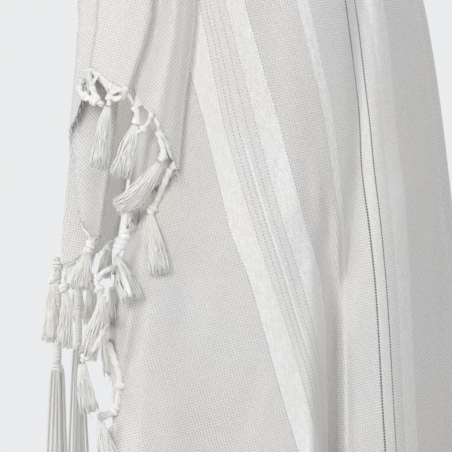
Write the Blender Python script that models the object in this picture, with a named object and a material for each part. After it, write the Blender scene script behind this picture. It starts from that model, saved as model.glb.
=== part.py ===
"""Tallit prayer shawl, worn open over the shoulders.

The shawl is one woven rectangle. Its two short sides are fringed and hang in front of the arms.
Each of them folds to and fro over the shoulder (the fall), and then runs down the side panel.
Metres, +Z up. The wearer faces -Y, and the near side is +X. The origin is the base of the neck,
level with the shoulder line. A far piece is a near piece mirrored in X, with its own small changes.
"""
import math

import bmesh
import bpy
import numpy as np

MM = 0.001
WALL = 2.0 * MM               # cloth thickness
SEAM_GAP = 0.35 * MM          # gap between neighbouring pieces

# The hanging form around a general figure, a row for each height.
FIGURE_COLUMNS = ("height", "half_width", "front_depth", "back_depth")
FIGURE = (
    (0.050, 0.070, 0.070, 0.078),
    (0.030, 0.122, 0.084, 0.094),
    (0.000, 0.194, 0.104, 0.116),
    (-0.050, 0.236, 0.120, 0.146),
    (-0.160, 0.262, 0.132, 0.182),
    (-0.350, 0.276, 0.142, 0.204),
    (-0.600, 0.292, 0.156, 0.228),
    (-1.200, 0.326, 0.180, 0.262),
)
SQUARENESS = 2.6              # 2 is an ellipse, more is squarer
PROUD_START = math.radians(26.0)   # up to this turn from the side, folds stand out sideways
PROUD_END = math.radians(58.0)     # from this turn on, they stand out square to the form
NECK_ZONE = 0.10              # height below the neck over which folds turn sideways

# Heights of the rows, and of the named columns in the fold tables.
NECK_Z = 0.050
HEM_Z = -1.200
BODY_ROWS = (0.050, 0.034, 0.014, -0.010, -0.045, -0.090, -0.140, -0.172, -0.204, -0.236, -0.268,
             -0.300, -0.332, -0.368, -0.405, -0.445, -0.500, -0.620, -0.780, -0.980, -1.200)

# Side panel: a row for each fold line, from the fringed edge round to the back.
# "y" is the distance behind the neck, and "lift" the height above the form, in mm, at each height.
SIDE_HEIGHTS = (0.050, 0.000, -0.160, -0.240, -0.300, -0.320, -0.360, -0.400, -0.440, -0.480, -0.800, -1.200)
SIDE_FOLDS = (
    ("fringed_edge", (-12, -20, -23, -29, -34, -37, -50, -54, -49, -51, -66, -84),
     (0, -2, -8, -22, -44, -45, -40, -31, -22, -14, -8, -6)),
    ("turn_in", (-9, -15, -17, -22, -28, -33, -42, -47, -42, -44, -58, -75),
     (0, -1, -4, -11, -21, -20, -17, -14, -11, -8, -4, -3)),
    ("front_ridge", (-6, -9, -9, -13, -22, -26, -29, -37, -35, -38, -49, -63),
     (0, 0, -1, -3, -5, -4, -4, -5, -5, -3, 0, 2)),
    ("ridge_back", (-3, -3, 0, -2, -10, -15, -18, -24, -25, -28, -37, -47),
     (0, 0, 0, -1, -1, -1, -1, -1, -1, 0, 4, 8)),
    ("shallow_dip", (2, 7, 11, 13, 12, 10, 10, 13, 17, 22, 24, 12),
     (0, 0, 0, -1, -2, -2, -3, -4, -4, -4, -8, -14)),
    ("stripe_crest", (6, 16, 25, 40, 54, 60, 70, 78, 84, 88, 84, 70),
     (0, 0, 0, 1, 2, 3, 4, 4, 5, 6, 11, 17)),
    ("valley_rim", (10, 28, 42, 62, 77, 82, 90, 94, 95, 96, 92, 84),
     (0, 0, 0, 0, 0, 0, -1, -2, -4, -6, -8, -9)),
    ("valley_floor", (12, 36, 56, 78, 91, 94, 98, 101, 102, 103, 101, 97),
     (0, -1, -1, -2, -3, -5, -8, -12, -15, -18, -22, -27)),
    ("valley_foot", (14, 45, 67, 88, 99, 102, 105, 107, 108, 108, 107, 105),
     (0, -1, -1, -2, -3, -5, -9, -12, -14, -17, -21, -25)),
    ("pleat_edge", (17, 53, 81, 99, 108, 110, 112, 113, 114, 114, 115, 115),
     (0, 0, 0, 0, 1, 1, 2, 2, 2, 2, 4, 7)),
    ("pleat_back", (21, 66, 95, 112, 120, 122, 125, 127, 128, 129, 132, 134),
     (0, 0, 1, 1, 1, 1, 1, 1, 1, 2, 6, 11)),
    ("ribbon_crest", (26, 79, 118, 130, 135, 136, 138, 140, 141, 142, 147, 154),
     (0, 0, 1, 2, 2, 2, 2, 2, 2, 2, 0, -4)),
)
SIDE_STEPS = (1, 1, 2, 2, 4, 2, 1, 1, 1, 1, 2)    # grid steps between neighbouring fold lines
SEAM_TURN = math.radians(62.0)                 # where the side panel meets the back
SEAM_STEPS = 8
BACK_STEPS = 22

# Back and rear side folds: a row for each, with the turn from the near side (0) by way of the
# centre back (90) to the far side (180), the half width, and the depth at three heights.
BACK_COLUMNS = ("turn_deg", "half_width_deg", "depth_shoulder", "depth_waist", "depth_hem")
BACK_FOLDS = (
    (48.0, 4.5, 0.0, -9.0, -17.0),
    (55.0, 4.0, 1.0, 6.0, 15.0),
    (64.0, 4.5, -3.0, -11.0, -21.0),
    (72.0, 5.0, 2.0, 8.0, 18.0),
    (81.0, 4.0, -1.0, -7.0, -19.0),
    (88.0, 5.0, 3.0, 5.0, 14.0),
    (97.0, 5.0, -2.0, -12.0, -23.0),
    (105.0, 4.5, 1.0, 9.0, 17.0),
    (113.0, 4.0, -2.0, -6.0, -16.0),
    (121.0, 5.0, 1.0, 7.0, 19.0),
    (130.0, 4.5, 0.0, -10.0, -20.0),
)
SHOULDER_Z = -0.060
WAIST_Z = -0.480

# The fall over the shoulder, from the neck edge out to the side panel. A row for each line of the
# zigzag: its "y" and "lift" in mm at the neck, the shoulder edge and three lower heights, and the
# height in mm at which the fringed edge crosses it.
FALL_HEIGHTS = (0.050, 0.000, -0.160, -0.240, -0.330)
FALL_LINES = (
    ("inner_edge", (-50, -72, -76, -80, -88), (0, -1, -20, -28, -32), -346),
    ("inner_mid", (-42, -61, -60, -66, -76), (0, 0, -19, -28, -31), -341),
    ("inner_end", (-35, -52, -47, -53, -65), (0, 0, -18, -27, -31), -334),
    ("panel_start", (-35, -52, -47, -53, -65), (5, 6, -8, -17, -21), -330),
    ("panel_mid", (-43, -62, -57, -63, -75), (5, 7, -5, -12, -15), -322),
    ("panel_end", (-50, -71, -65, -73, -83), (5, 7, -6, -10, -14), -290),
    ("roll_start", (-50, -70, -63, -70, -81), (10, 13, 4, 0, -4), -270),
    ("roll_crease", (-46, -65, -58, -66, -76), (10, 13, 6, 4, 1), -208),
    ("pleat_a_left", (-42, -59, -52, -61, -70), (10, 14, 13, 11, 9), -206),
    ("pleat_a_mid", (-36, -50, -40, -52, -60), (10, 15, 16, 15, 14), -221),
    ("pleat_a_right", (-30, -40, -24, -42, -50), (10, 15, 15, 14, 12), -229),
    ("pleat_valley", (-26, -35, -20, -38, -46), (10, 13, 9, 8, 6), -223),
    ("pleat_b_left", (-20, -27, -15, -29, -38), (10, 13, 11, 11, 9), -234),
    ("pleat_b_mid", (-10, -14, -7, -17, -28), (10, 14, 15, 17, 16), -243),
    ("pleat_b_right", (-1, -2, 1, -8, -18), (10, 14, 16, 18, 18), -264),
    ("pleat_b_end", (5, 6, 4, -4, -13), (10, 14, 16, 18, 18), -277),
    ("return_start", (5, 6, 4, -4, -13), (5, 6, 7, 7, 7), -282),
    ("return_mid", (-3, -5, -7, -13, -22), (5, 6, 7, 6, 3), -289),
    ("return_low", (-8, -13, -15, -20, -32), (5, 6, 5, 0, -6), -295),
)
TUCK_HEIGHTS_MM = (5, 6, 7, 7, 6)   # how far the return lies above the side panel's edge
TUCK_BOTTOM = -300.0
FALL_STEPS = {"inner_mid": 2, "pleat_a_mid": 2, "pleat_b_left": 2, "pleat_b_mid": 2}
FALL_FOLDS = (("inner_end", "panel_start", 1), ("panel_end", "roll_start", -1),
              ("pleat_b_end", "return_start", 1))   # line before, line after, way the fold points
FOLD_STEPS = 4
TUCK_STEPS = 4
TUCK_ROUNDNESS = 0.8
FALL_TOP_ROWS = (0.050, 0.034, 0.014, -0.010, -0.045, -0.090, -0.140)
FALL_LOW_ROWS = 5

# Knotted fringe.
FALL_LOCKS = 18               # about 23 mm apart
SIDE_LOCKS = 34               # about 26 mm apart
FALL_WITHOUT = (8, 10, 11, 14, 17)   # no room for these between the folds
SIDE_WITHOUT = (0, 2, 3, 4)
STRIP_HEIGHT = 4.0 * MM
ROOT_WIDTH = 5.0 * MM
LOCK_LENGTH = 64.0 * MM
# A row for each ring of a lock after its root, in mm.
LOCK_COLUMNS = ("width", "thickness")
LOCK_RINGS = ((4.0, 2.4), (6.0, 5.0), (10.0, 5.0), (7.0, 3.0))
LOCK_KNOT = 0.38              # share of the length at which a lock is knotted
LOCK_LEAD = 5.0 * MM          # how far a lock runs straight off the strip
LOCK_LEAD_SHARE = 0.05
# A lock hangs further out until it is clear of the strip and of the locks before it.
OUTWARD_SHARES = (0.0, 0.4, 1.0, 1.0, 1.0)    # share of the move at each point of a lock
OUTWARD_STEP = 1.0 * MM
MOST_STEPS = 22
LOCK_GAP = 0.6 * MM
ROOT_ZONE = 8.0 * MM
BODY_SAMPLES = 50
STRIP_SAMPLE = 2.0 * MM
STRIP_HALVES = (2.2 * MM, 2.2 * MM)
SWAY = 0.6 * MM
LENGTH_CHANGE = 0.05
STRIP_START = 0.2             # share of the first row that the fall's strip takes up
EDGE_END = 0.5 * MM           # how far the strip stops short of the edge's ends
CLOSEST_CUTS = 0.6 * MM
# Lanes in which locks on an upright edge hang beside each other: shift in y and outwards, in mm.
EDGE_LANES = ((-9.0, 8.0), (-21.0, 0.0), (-9.0, -8.0))
# Locks that hang askew, by edge and number, a row each: y, height and lift of the knot, then of
# the tip, in mm.
ASKEW_COLUMNS = ("knot_y", "knot_z", "knot_lift", "tip_y", "tip_z", "tip_lift")
ASKEW_FALL = {
    0: (-74, -363, -28, -74, -388, -28),
    1: (-64, -350, -22, -68, -370, -20),
    2: (-79, -343, -13, -81, -370, -12),
    3: (-90, -328, -8, -90, -370, -8),
    4: (-83, -301, 2, -85, -343, -1),
    5: (-69, -280, 9, -78, -322, 7),
    6: (-66, -259, 16, -75, -299, 16),
    7: (-55, -238, 20, -60, -280, 20),
    9: (-37, -248, 19, -43, -285, 15),
    12: (-25, -273, 24, -40, -306, 17),
    13: (-24, -308, 19, -22, -351, 10),
    15: (-28, -315, 3, -30, -343, 2),
    16: (-44, -338, -14, -39, -374, 5),
}
ASKEW_SIDE = {
    1: (-62, -373, -46, -67, -416, -38),
}

# Corner tzitzit: a knotted and wound head, from which eight strings hang in four pairs.
# A row for each ring of the head: how far below the top it lies, and its width and depth, in mm.
HEAD_COLUMNS = ("below_top", "width", "depth")
HEAD_RINGS = ((0, 5, 4), (4, 9, 8), (10, 9, 8), (13, 7, 6), (40, 7, 6), (44, 9, 8), (50, 9, 8), (53, 7, 6),
              (74, 7, 6), (80, 10, 8))
PAIRS = 4
STRING_LENGTH = 160.0 * MM
# A row for each ring of a string: its share of the length, how far it has spread from the middle,
# and its width and thickness in mm.
STRING_COLUMNS = ("share", "spread", "width", "thickness")
STRING_RINGS = ((0.05, 1.25, 1.9, 1.9), (0.35, 1.8, 2.2, 2.2), (0.7, 2.6, 2.2, 2.2), (1.0, 3.0, 1.5, 1.5))
SHORTER = 0.05                # how much shorter each next string of a pair's row is
CORNER_RISE = 8.0 * MM        # a top head's start above the cloth's corner
CORNER_INSET = 14.0 * MM      # a hem head's distance from the cloth's corner

CLOTH_COLOUR = (0.86, 0.85, 0.82, 1.0)
FRINGE_COLOUR = (0.88, 0.86, 0.80, 1.0)
TZITZIT_COLOUR = (0.90, 0.89, 0.86, 1.0)


def smooth(xs, ys, x):
    """Value at x of a smooth curve through the points (xs, ys), level past both ends."""
    xs = np.asarray(xs, float)
    ys = np.asarray(ys, float)
    if xs[0] > xs[-1]:
        xs, ys = xs[::-1], ys[::-1]
    x = np.clip(x, xs[0], xs[-1])
    slopes = np.diff(ys) / np.diff(xs)
    tangents = np.zeros_like(ys)
    same_way = slopes[:-1] * slopes[1:] > 0
    mean = 2.0 * slopes[:-1] * slopes[1:] / np.where(same_way, slopes[:-1] + slopes[1:], 1.0)
    tangents[1:-1] = np.where(same_way, mean, 0.0)
    tangents[0], tangents[-1] = slopes[0], slopes[-1]
    i = np.clip(np.searchsorted(xs, x, side="right") - 1, 0, len(slopes) - 1)
    span = xs[i + 1] - xs[i]
    t = (x - xs[i]) / span
    start = (1 + 2 * t) * (1 - t) ** 2 * ys[i] + t * (1 - t) ** 2 * span * tangents[i]
    return start + t * t * (3 - 2 * t) * ys[i + 1] + t * t * (t - 1) * span * tangents[i + 1]


def figure_size(z):
    """Half width, front depth and back depth of the form at height z."""
    heights = [row[0] for row in FIGURE]
    return [float(smooth(heights, [row[k] for row in FIGURE], z)) for k in (1, 2, 3)]


def form_x(y, z):
    """Half width of the form at a given y, on the near side."""
    half_width, front, back = figure_size(z)
    share = min(abs(y) / (back if y > 0 else front), 0.97)
    return half_width * (1.0 - share ** SQUARENESS) ** (1.0 / SQUARENESS)


def form_point(turn, z):
    """Point of the form in plan at an angle round the figure."""
    half_width, front, back = figure_size(z)
    depth = back if math.sin(turn) > 0 else front
    across = abs(math.cos(turn) / half_width) ** SQUARENESS
    reach = (across + abs(math.sin(turn) / depth) ** SQUARENESS) ** (-1.0 / SQUARENESS)
    return reach * math.cos(turn), reach * math.sin(turn)


def proud_angle(turn, z):
    """Direction in plan in which a fold stands out from the form, at a turn between 0 and 180."""
    side_turn = min(turn, math.pi - turn)
    share = np.clip((abs(side_turn) - PROUD_START) / (PROUD_END - PROUD_START), 0.0, 1.0)
    share = max(share, np.clip(1.0 - (NECK_Z - z) / NECK_ZONE, 0.0, 1.0))
    angle = share * side_turn
    return angle if turn < math.pi / 2 else math.pi - angle


def form_slope(z):
    """Angle by which the form's outer face looks up at height z, from the sides to the shoulders."""
    step = 4 * MM
    wider = figure_size(max(z - step, HEM_Z))[0] - figure_size(min(z + step, NECK_Z))[0]
    return math.atan2(wider, min(z + step, NECK_Z) - max(z - step, HEM_Z))


def proud_point(turn, lift, z):
    """Point that stands a lift above the form."""
    x, y = form_point(turn, z)
    angle = proud_angle(turn, z)
    slope = form_slope(z) if z > SHOULDER_Z else 0.0
    out = lift * math.cos(slope)
    return x + out * math.cos(angle), y + out * math.sin(angle), z + lift * math.sin(slope)


def side_point(y, lift, z):
    """Point of the near side, from its y on the form and its lift."""
    return proud_point(math.atan2(y, form_x(y, z)), lift, z)


def back_lift(turn, z):
    """Depth of the rear folds at a turn, in metres."""
    degrees = math.degrees(turn)
    total = 0.0
    for centre, half_width, shoulder, waist, hem in BACK_FOLDS:
        depth = smooth((NECK_Z, SHOULDER_Z, WAIST_Z, HEM_Z), (0.0, shoulder, waist, hem), z)
        total += depth * math.exp(-((degrees - centre) / half_width) ** 2)
    return total * MM


class Side:
    """One side of the wearer: near is as in the tables, far is mirrored with its own changes."""

    def __init__(self, name, mirror, forward):
        self.name = name
        self.mirror = mirror        # 1 near, -1 far
        self.forward = forward      # shift of the fold lines in y, at the hem
        self.outward = np.array((mirror, 0.0, 0.0))

    def place(self, point):
        """Turn a near-side point into this side's point."""
        x, y, z = point
        shift = self.forward * np.clip((NECK_Z - z) / (NECK_Z - HEM_Z), 0.0, 1.0)
        return np.array((self.mirror * x, y + shift, z))


NEAR = Side("near", 1.0, 0.0)
FAR = Side("far", -1.0, -0.012)


def grid_normals(points):
    """Unit normals of a grid of points, by central differences."""
    down = np.gradient(points, axis=0)
    across = np.gradient(points, axis=1)
    normals = np.cross(down, across)
    return normals / np.linalg.norm(normals, axis=2, keepdims=True)


def wall_mesh(name, points, normals):
    """Closed wall of cloth on both sides of a grid of points."""
    rows, columns = points.shape[:2]
    outer = (points + normals * WALL / 2).reshape(-1, 3)
    inner = (points - normals * WALL / 2).reshape(-1, 3)
    count = rows * columns
    faces = []
    for i in range(rows - 1):
        for j in range(columns - 1):
            a = i * columns + j
            quad = (a, a + columns, a + columns + 1, a + 1)
            faces.append(quad)
            faces.append(tuple(v + count for v in reversed(quad)))
    rim = [j for j in range(columns)]
    rim += [i * columns + columns - 1 for i in range(1, rows)]
    rim += [(rows - 1) * columns + j for j in range(columns - 2, -1, -1)]
    rim += [i * columns for i in range(rows - 2, 0, -1)]
    for a, b in zip(rim, rim[1:] + rim[:1]):
        faces.append((a, b, b + count, a + count))
    return new_object(name, np.vstack((outer, inner)), faces, "Cloth", CLOTH_COLOUR, 0.85)


def new_object(name, verts, faces, finish, colour, roughness):
    """Add a closed mesh with its own material, its faces pointing out."""
    mesh = bpy.data.meshes.new(name)
    mesh.from_pydata([tuple(v) for v in verts], [], faces)
    bm = bmesh.new()
    bm.from_mesh(mesh)
    bmesh.ops.triangulate(bm, faces=bm.faces)
    bmesh.ops.recalc_face_normals(bm, faces=bm.faces)
    if bm.calc_volume(signed=True) < 0:
        bmesh.ops.reverse_faces(bm, faces=bm.faces)
    bm.to_mesh(mesh)
    bm.free()
    obj = bpy.data.objects.new(name, mesh)
    bpy.context.collection.objects.link(obj)
    mesh.shade_smooth()
    material = bpy.data.materials.new(f"{finish} {name}")
    material.use_nodes = True
    shader = material.node_tree.nodes["Principled BSDF"]
    shader.inputs["Base Color"].default_value = colour
    shader.inputs["Roughness"].default_value = roughness
    mesh.materials.append(material)
    return obj


def side_columns(z, side):
    """Points of the side panel at one height, from the fringed edge to the back seam."""
    lines = []
    for _, ys, lifts in SIDE_FOLDS:
        y = float(smooth(SIDE_HEIGHTS, ys, z)) * MM
        lift = float(smooth(SIDE_HEIGHTS, lifts, z)) * MM
        lines.append((y, lift))
    index = np.cumsum((0,) + SIDE_STEPS)
    turns = [math.atan2(y, form_x(y, z)) for y, _ in lines]
    lifts = [lift for _, lift in lines]
    steps = np.arange(index[-1] + 1)
    points = []
    for step in steps:
        turn = float(smooth(index, turns, step))
        points.append(proud_point(turn, float(smooth(index, lifts, step)), z))
    seam = SEAM_TURN
    for k in range(1, SEAM_STEPS + 1):
        share = k / SEAM_STEPS
        turn = turns[-1] + (seam - turns[-1]) * share
        back_turn = turn if side is NEAR else math.pi - turn
        lift = lifts[-1] * (1 - share) + back_lift(back_turn, z) * share
        points.append(proud_point(turn, lift, z))
    return [side.place(p) for p in points]


def back_columns(z):
    """Points of the back at one height, between the near seam and the far seam."""
    points = []
    for turn in np.linspace(SEAM_TURN, math.pi - SEAM_TURN, BACK_STEPS + 1)[1:-1]:
        x, y, height = proud_point(turn, back_lift(turn, z), z)
        share = max(0.0, (turn - math.pi / 2) / (math.pi / 2 - SEAM_TURN))
        shift = FAR.place((x, y, height))[1] - y
        points.append((x, y + shift * share, height))
    return points


def body_grid():
    """One grid from the near fringed edge round the back to the far one, and its seam columns."""
    rows = []
    for z in BODY_ROWS:
        near = side_columns(z, NEAR)
        far = side_columns(z, FAR)
        rows.append(near + back_columns(z) + far[::-1])
    seams = (len(near) - 1, len(near) - 1 + BACK_STEPS)
    return np.array(rows), seams


def body_walls():
    """The near side, back and far side, parted at the seams."""
    points, (near_seam, far_seam) = body_grid()
    normals = grid_normals(points)
    parts = (("cloth_side_near", 0, near_seam), ("cloth_back", near_seam, far_seam),
             ("cloth_side_far", far_seam, points.shape[1] - 1))
    for name, first, last in parts:
        grid = points[:, first:last + 1].copy()
        if first > 0:
            part_seam(grid, 0, 1, SEAM_GAP / 2)
        if last < points.shape[1] - 1:
            part_seam(grid, -1, -2, SEAM_GAP / 2)
        wall_mesh(name, grid, normals[:, first:last + 1])
    return points, normals


def part_seam(grid, column, neighbour, gap):
    """Draw one boundary column of a grid back from its neighbour's by a gap."""
    inward = grid[:, neighbour] - grid[:, column]
    grid[:, column] += inward / np.linalg.norm(inward, axis=1, keepdims=True) * gap


def fall_section(z):
    """Points of the fall's zigzag at one height, each with the height of the fringe below it."""
    lines = []
    for name, ys, lifts, bottom in FALL_LINES:
        y = float(smooth(FALL_HEIGHTS, ys, z)) * MM
        lift = float(smooth(FALL_HEIGHTS, lifts, z)) * MM
        lines.append((name, y, lift, bottom * MM))
    folds = {before: way for before, _, way in FALL_FOLDS}
    section = []
    for k, (name, y, lift, bottom) in enumerate(lines):
        section.append((y, lift, bottom))
        if k + 1 == len(lines):
            break
        _, next_y, next_lift, next_bottom = lines[k + 1]
        if name in folds:
            radius = abs(next_lift - lift) / 2
            for step in range(1, FOLD_STEPS):
                angle = math.pi * step / FOLD_STEPS
                share = (1 - math.cos(angle)) / 2
                section.append((y + folds[name] * radius * math.sin(angle),
                                lift + (next_lift - lift) * share,
                                bottom + (next_bottom - bottom) * step / FOLD_STEPS))
            continue
        steps = FALL_STEPS.get(name, 1)
        for step in range(1, steps):
            share = step / steps
            section.append(tuple(a + (b - a) * share for a, b in
                                 zip((y, lift, bottom), (next_y, next_lift, next_bottom))))
    return section + tuck(section[-1][2], z)


def tuck(bottom, z):
    """The fall's last turn, from the return round to the side panel's edge."""
    edge, inside = (np.array([float(smooth(SIDE_HEIGHTS, row[k], z)) * MM for k in (1, 2)])
                    for row in SIDE_FOLDS[:2])
    along = (inside - edge) / np.linalg.norm(inside - edge)
    height = float(smooth(FALL_HEIGHTS, TUCK_HEIGHTS_MM, z)) * MM
    start = edge + height * np.array((-along[1], along[0]))
    end = edge - along * 2 * SEAM_GAP
    handle = along * height * TUCK_ROUNDNESS
    points = []
    for step in range(TUCK_STEPS + 1):
        t = step / TUCK_STEPS
        y, lift = ((1 - t) ** 3 * start + 3 * t * (1 - t) ** 2 * (start - handle)
                   + 3 * t * t * (1 - t) * (end - handle) + t ** 3 * end)
        points.append((y, lift, bottom + (TUCK_BOTTOM * MM - bottom) * t))
    return points


def fall_grid(side):
    """Grid of the fall: every column runs from the neck to its own point of the fringed edge."""
    bottoms = [point[2] for point in fall_section(NECK_Z)]
    columns = []
    for j, bottom in enumerate(bottoms):
        top = FALL_TOP_ROWS[-1]
        heights = list(FALL_TOP_ROWS) + [top + (bottom - top) * k / FALL_LOW_ROWS
                                         for k in range(1, FALL_LOW_ROWS + 1)]
        column = []
        for z in heights:
            y, lift, _ = fall_section(z)[j]
            column.append(side.place(side_point(y, lift, z)))
        columns.append(column)
    return np.swapaxes(np.array(columns), 0, 1)


class Edge:
    """The fringed edge of a stretch: its points, the way off the cloth and the cloth's normal."""

    def __init__(self, points, off, normals):
        self.points = points
        self.normals = normals
        square = np.cross(np.gradient(points, axis=0), normals)
        square *= np.sign(np.sum(square * off, axis=1))[:, None]
        self.off = square / np.linalg.norm(square, axis=1, keepdims=True)
        steps = np.linalg.norm(np.diff(points, axis=0), axis=1)
        self.lengths = np.concatenate(((0.0,), np.cumsum(steps)))

    def at(self, distance):
        """Point, way off the cloth and normal at a distance along the edge."""
        point, off, normal = (np.array([np.interp(distance, self.lengths, rows[:, k]) for k in range(3)])
                              for rows in (self.points, self.off, self.normals))
        return point, off / np.linalg.norm(off), normal / np.linalg.norm(normal)

    def root_cell(self, distance):
        """Start and end of a lock's root, inside one straight stretch of the edge."""
        k = int(np.clip(np.searchsorted(self.lengths, distance) - 1, 0, len(self.lengths) - 2))
        first, last = self.lengths[k:k + 2]
        start = max(distance - ROOT_WIDTH / 2, first)
        start = first if start - first < CLOSEST_CUTS else start
        end = min(start + ROOT_WIDTH, last)
        return start, last if last - end < CLOSEST_CUTS else end


def strip_ring(edge, distance):
    """Corners of the strip's section: by the cloth outside and inside, then off it inside and outside."""
    point, off, normal = edge.at(distance)
    near, far = point + off * SEAM_GAP, point + off * (SEAM_GAP + STRIP_HEIGHT)
    return [near + normal * WALL / 2, near - normal * WALL / 2,
            far - normal * WALL / 2, far + normal * WALL / 2]


def strip_cuts(edge, cells):
    """Distances at which the strip is cut, and which of its cells hold a lock."""
    ends = sorted(d for cell in cells for d in cell)
    bends = [d for d in edge.lengths[1:-1] if min(abs(d - e) for e in ends) > CLOSEST_CUTS
             and not any(start < d < end for start, end in cells)]
    cuts = sorted([EDGE_END, edge.lengths[-1] - EDGE_END] + ends + bends)
    return cuts, [any(abs(cut - start) < CLOSEST_CUTS / 10 for start, _ in cells) for cut in cuts[:-1]]


def hanging_lock(root, down, lane, sway, length):
    """Knot and tip of a lock that hangs down in its lane."""
    knot = root + lane + down * LOCK_KNOT * length
    return knot, knot + sway + down * (1.0 - LOCK_KNOT) * length


def askew_lock(row, side):
    """Knot and tip of a lock from its row."""
    ends = []
    for y, z, lift in (row[:3], row[3:]):
        ends.append(side.place(side_point(y * MM, lift * MM, z * MM)))
    return ends


def lock_path(root, lead, knot, tip):
    """Way of a lock: out of the strip, to its knot, and down to its tip."""
    return np.array((root, root + lead + (knot - root) * LOCK_LEAD_SHARE, knot, (knot + tip) / 2, tip))


def lock_body(path):
    """Points along a lock, each with its half width and half thickness."""
    rings = np.array((LOCK_RINGS[0],) + LOCK_RINGS) * MM / 2
    share = np.linspace(0.0, len(path) - 1.0, BODY_SAMPLES)
    return np.array([[np.interp(k, range(len(path)), column) for column in (*path.T, *rings.T)] for k in share])


def settle(path, outward, taken):
    """Hang a lock further out, step by step, until it is clear of what hangs there already."""
    for step in range(MOST_STEPS):
        moved = path + np.outer(OUTWARD_SHARES, outward) * OUTWARD_STEP * step
        body = lock_body(moved)
        apart = body[:, None, :3] - taken[None, :, :3]
        out = apart @ outward
        across = np.linalg.norm(apart - out[..., None] * outward, axis=2)
        close = np.abs(out) < body[:, None, 4] + taken[None, :, 4] + LOCK_GAP
        close &= across < body[:, None, 3] + taken[None, :, 3] + LOCK_GAP
        if not close.any():
            break
    return moved, body


def sweep(verts, faces, ring, path, widths, outward):
    """Carry a ring of four points along a path, with a width and thickness at each of its points."""
    wide = verts[ring[1]] - verts[ring[0]]
    thick = verts[ring[0]] - verts[ring[3]]
    hand = math.copysign(1.0, np.cross(wide, thick) @ (path[1] - path[0]))
    facing = outward * math.copysign(1.0, thick @ outward)
    for k in range(1, len(path)):
        ahead = path[min(k + 1, len(path) - 1) if k > 1 else k] - path[k - 1]
        ahead = ahead / np.linalg.norm(ahead)
        thick = facing if k > 1 else thick
        thick = thick - ahead * (thick @ ahead)
        thick = thick / np.linalg.norm(thick)
        wide = hand * np.cross(thick, ahead)
        half_wide, half_thick = wide * widths[k - 1][0] / 2, thick * widths[k - 1][1] / 2
        centre = path[k]
        verts += [centre - half_wide + half_thick, centre + half_wide + half_thick,
                  centre + half_wide - half_thick, centre - half_wide - half_thick]
        new = tuple(range(len(verts) - 4, len(verts)))
        for a, b in zip(range(4), (1, 2, 3, 0)):
            faces.append((ring[a], ring[b], new[b], new[a]))
        ring = new
    faces.append(tuple(reversed(ring)))


def fringe_mesh(name, edge, count, without, lanes, side, askew):
    """A strip along the fringed edge, with its locks drawn out of it."""
    pitch = edge.lengths[-1] / count
    roots = {k: edge.root_cell(pitch * (k + 0.5)) for k in range(count) if k not in without}
    numbers = iter(roots)
    cuts, cells = strip_cuts(edge, roots.values())
    verts, faces = [], []
    for cut in cuts:
        verts += strip_ring(edge, cut)
    last = 4 * (len(cuts) - 1)
    faces += [(0, 1, 2, 3), (last + 3, last + 2, last + 1, last)]
    along = np.arange(0.0, edge.lengths[-1], STRIP_SAMPLE)
    strip = np.array([[*(edge.at(d)[0] + edge.at(d)[1] * STRIP_HEIGHT / 2), *STRIP_HALVES] for d in along])
    taken = strip
    for cell, holds_lock in enumerate(cells):
        a, b = 4 * cell, 4 * cell + 4
        sides = [(0, 1), (1, 2), (3, 0)] + ([] if holds_lock else [(2, 3)])
        faces += [(a + p, b + p, b + q, a + q) for p, q in sides]
        if not holds_lock:
            continue
        number = next(numbers)
        root = sum(verts[v] for v in (a + 2, a + 3, b + 2, b + 3)) / 4
        if number in askew:
            knot, tip = askew_lock(askew[number], side)
            way = 1.0
        else:
            lane_y, lane_x = lanes[number % len(lanes)]
            lane = np.array((side.mirror * lane_x, lane_y, 0.0)) * MM
            way = math.copysign(1.0, lane_x)
            sway = np.array((0.0, SWAY * (math.sin(2.4 * number + 1.0) - 1.0), 0.0))
            length = LOCK_LENGTH * (1.0 + LENGTH_CHANGE * math.sin(1.7 * number))
            down = edge.at(roots[number][0] + length)[0] - edge.at(roots[number][0])[0]
            knot, tip = hanging_lock(root, down / np.linalg.norm(down), lane, sway, length)
        _, off, _ = edge.at(roots[number][0])
        path = lock_path(root, off * LOCK_LEAD, knot, tip)
        elsewhere = np.linalg.norm(taken[:, :3] - root, axis=1) > ROOT_ZONE
        path, body = settle(path, side.outward * way, taken[elsewhere])
        taken = np.vstack((taken, body))
        rings = [(w * MM, t * MM) for w, t in LOCK_RINGS]
        sweep(verts, faces, (a + 3, b + 3, b + 2, a + 2), path, rings, side.outward)
    return new_object(name, verts, faces, "Fringe", FRINGE_COLOUR, 0.9)


def block_point(centre, across, through, size, i, j):
    """One of the points of a rounded block of string cells, which is two cells through."""
    u = 2.0 * i / PAIRS - 1.0
    v = j - 1.0
    _, width, depth = size
    return (centre + across * width * MM / 2 * u * math.sqrt(1 - v * v / 2)
            + through * depth * MM / 2 * v * math.sqrt(1 - u * u / 2))


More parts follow.
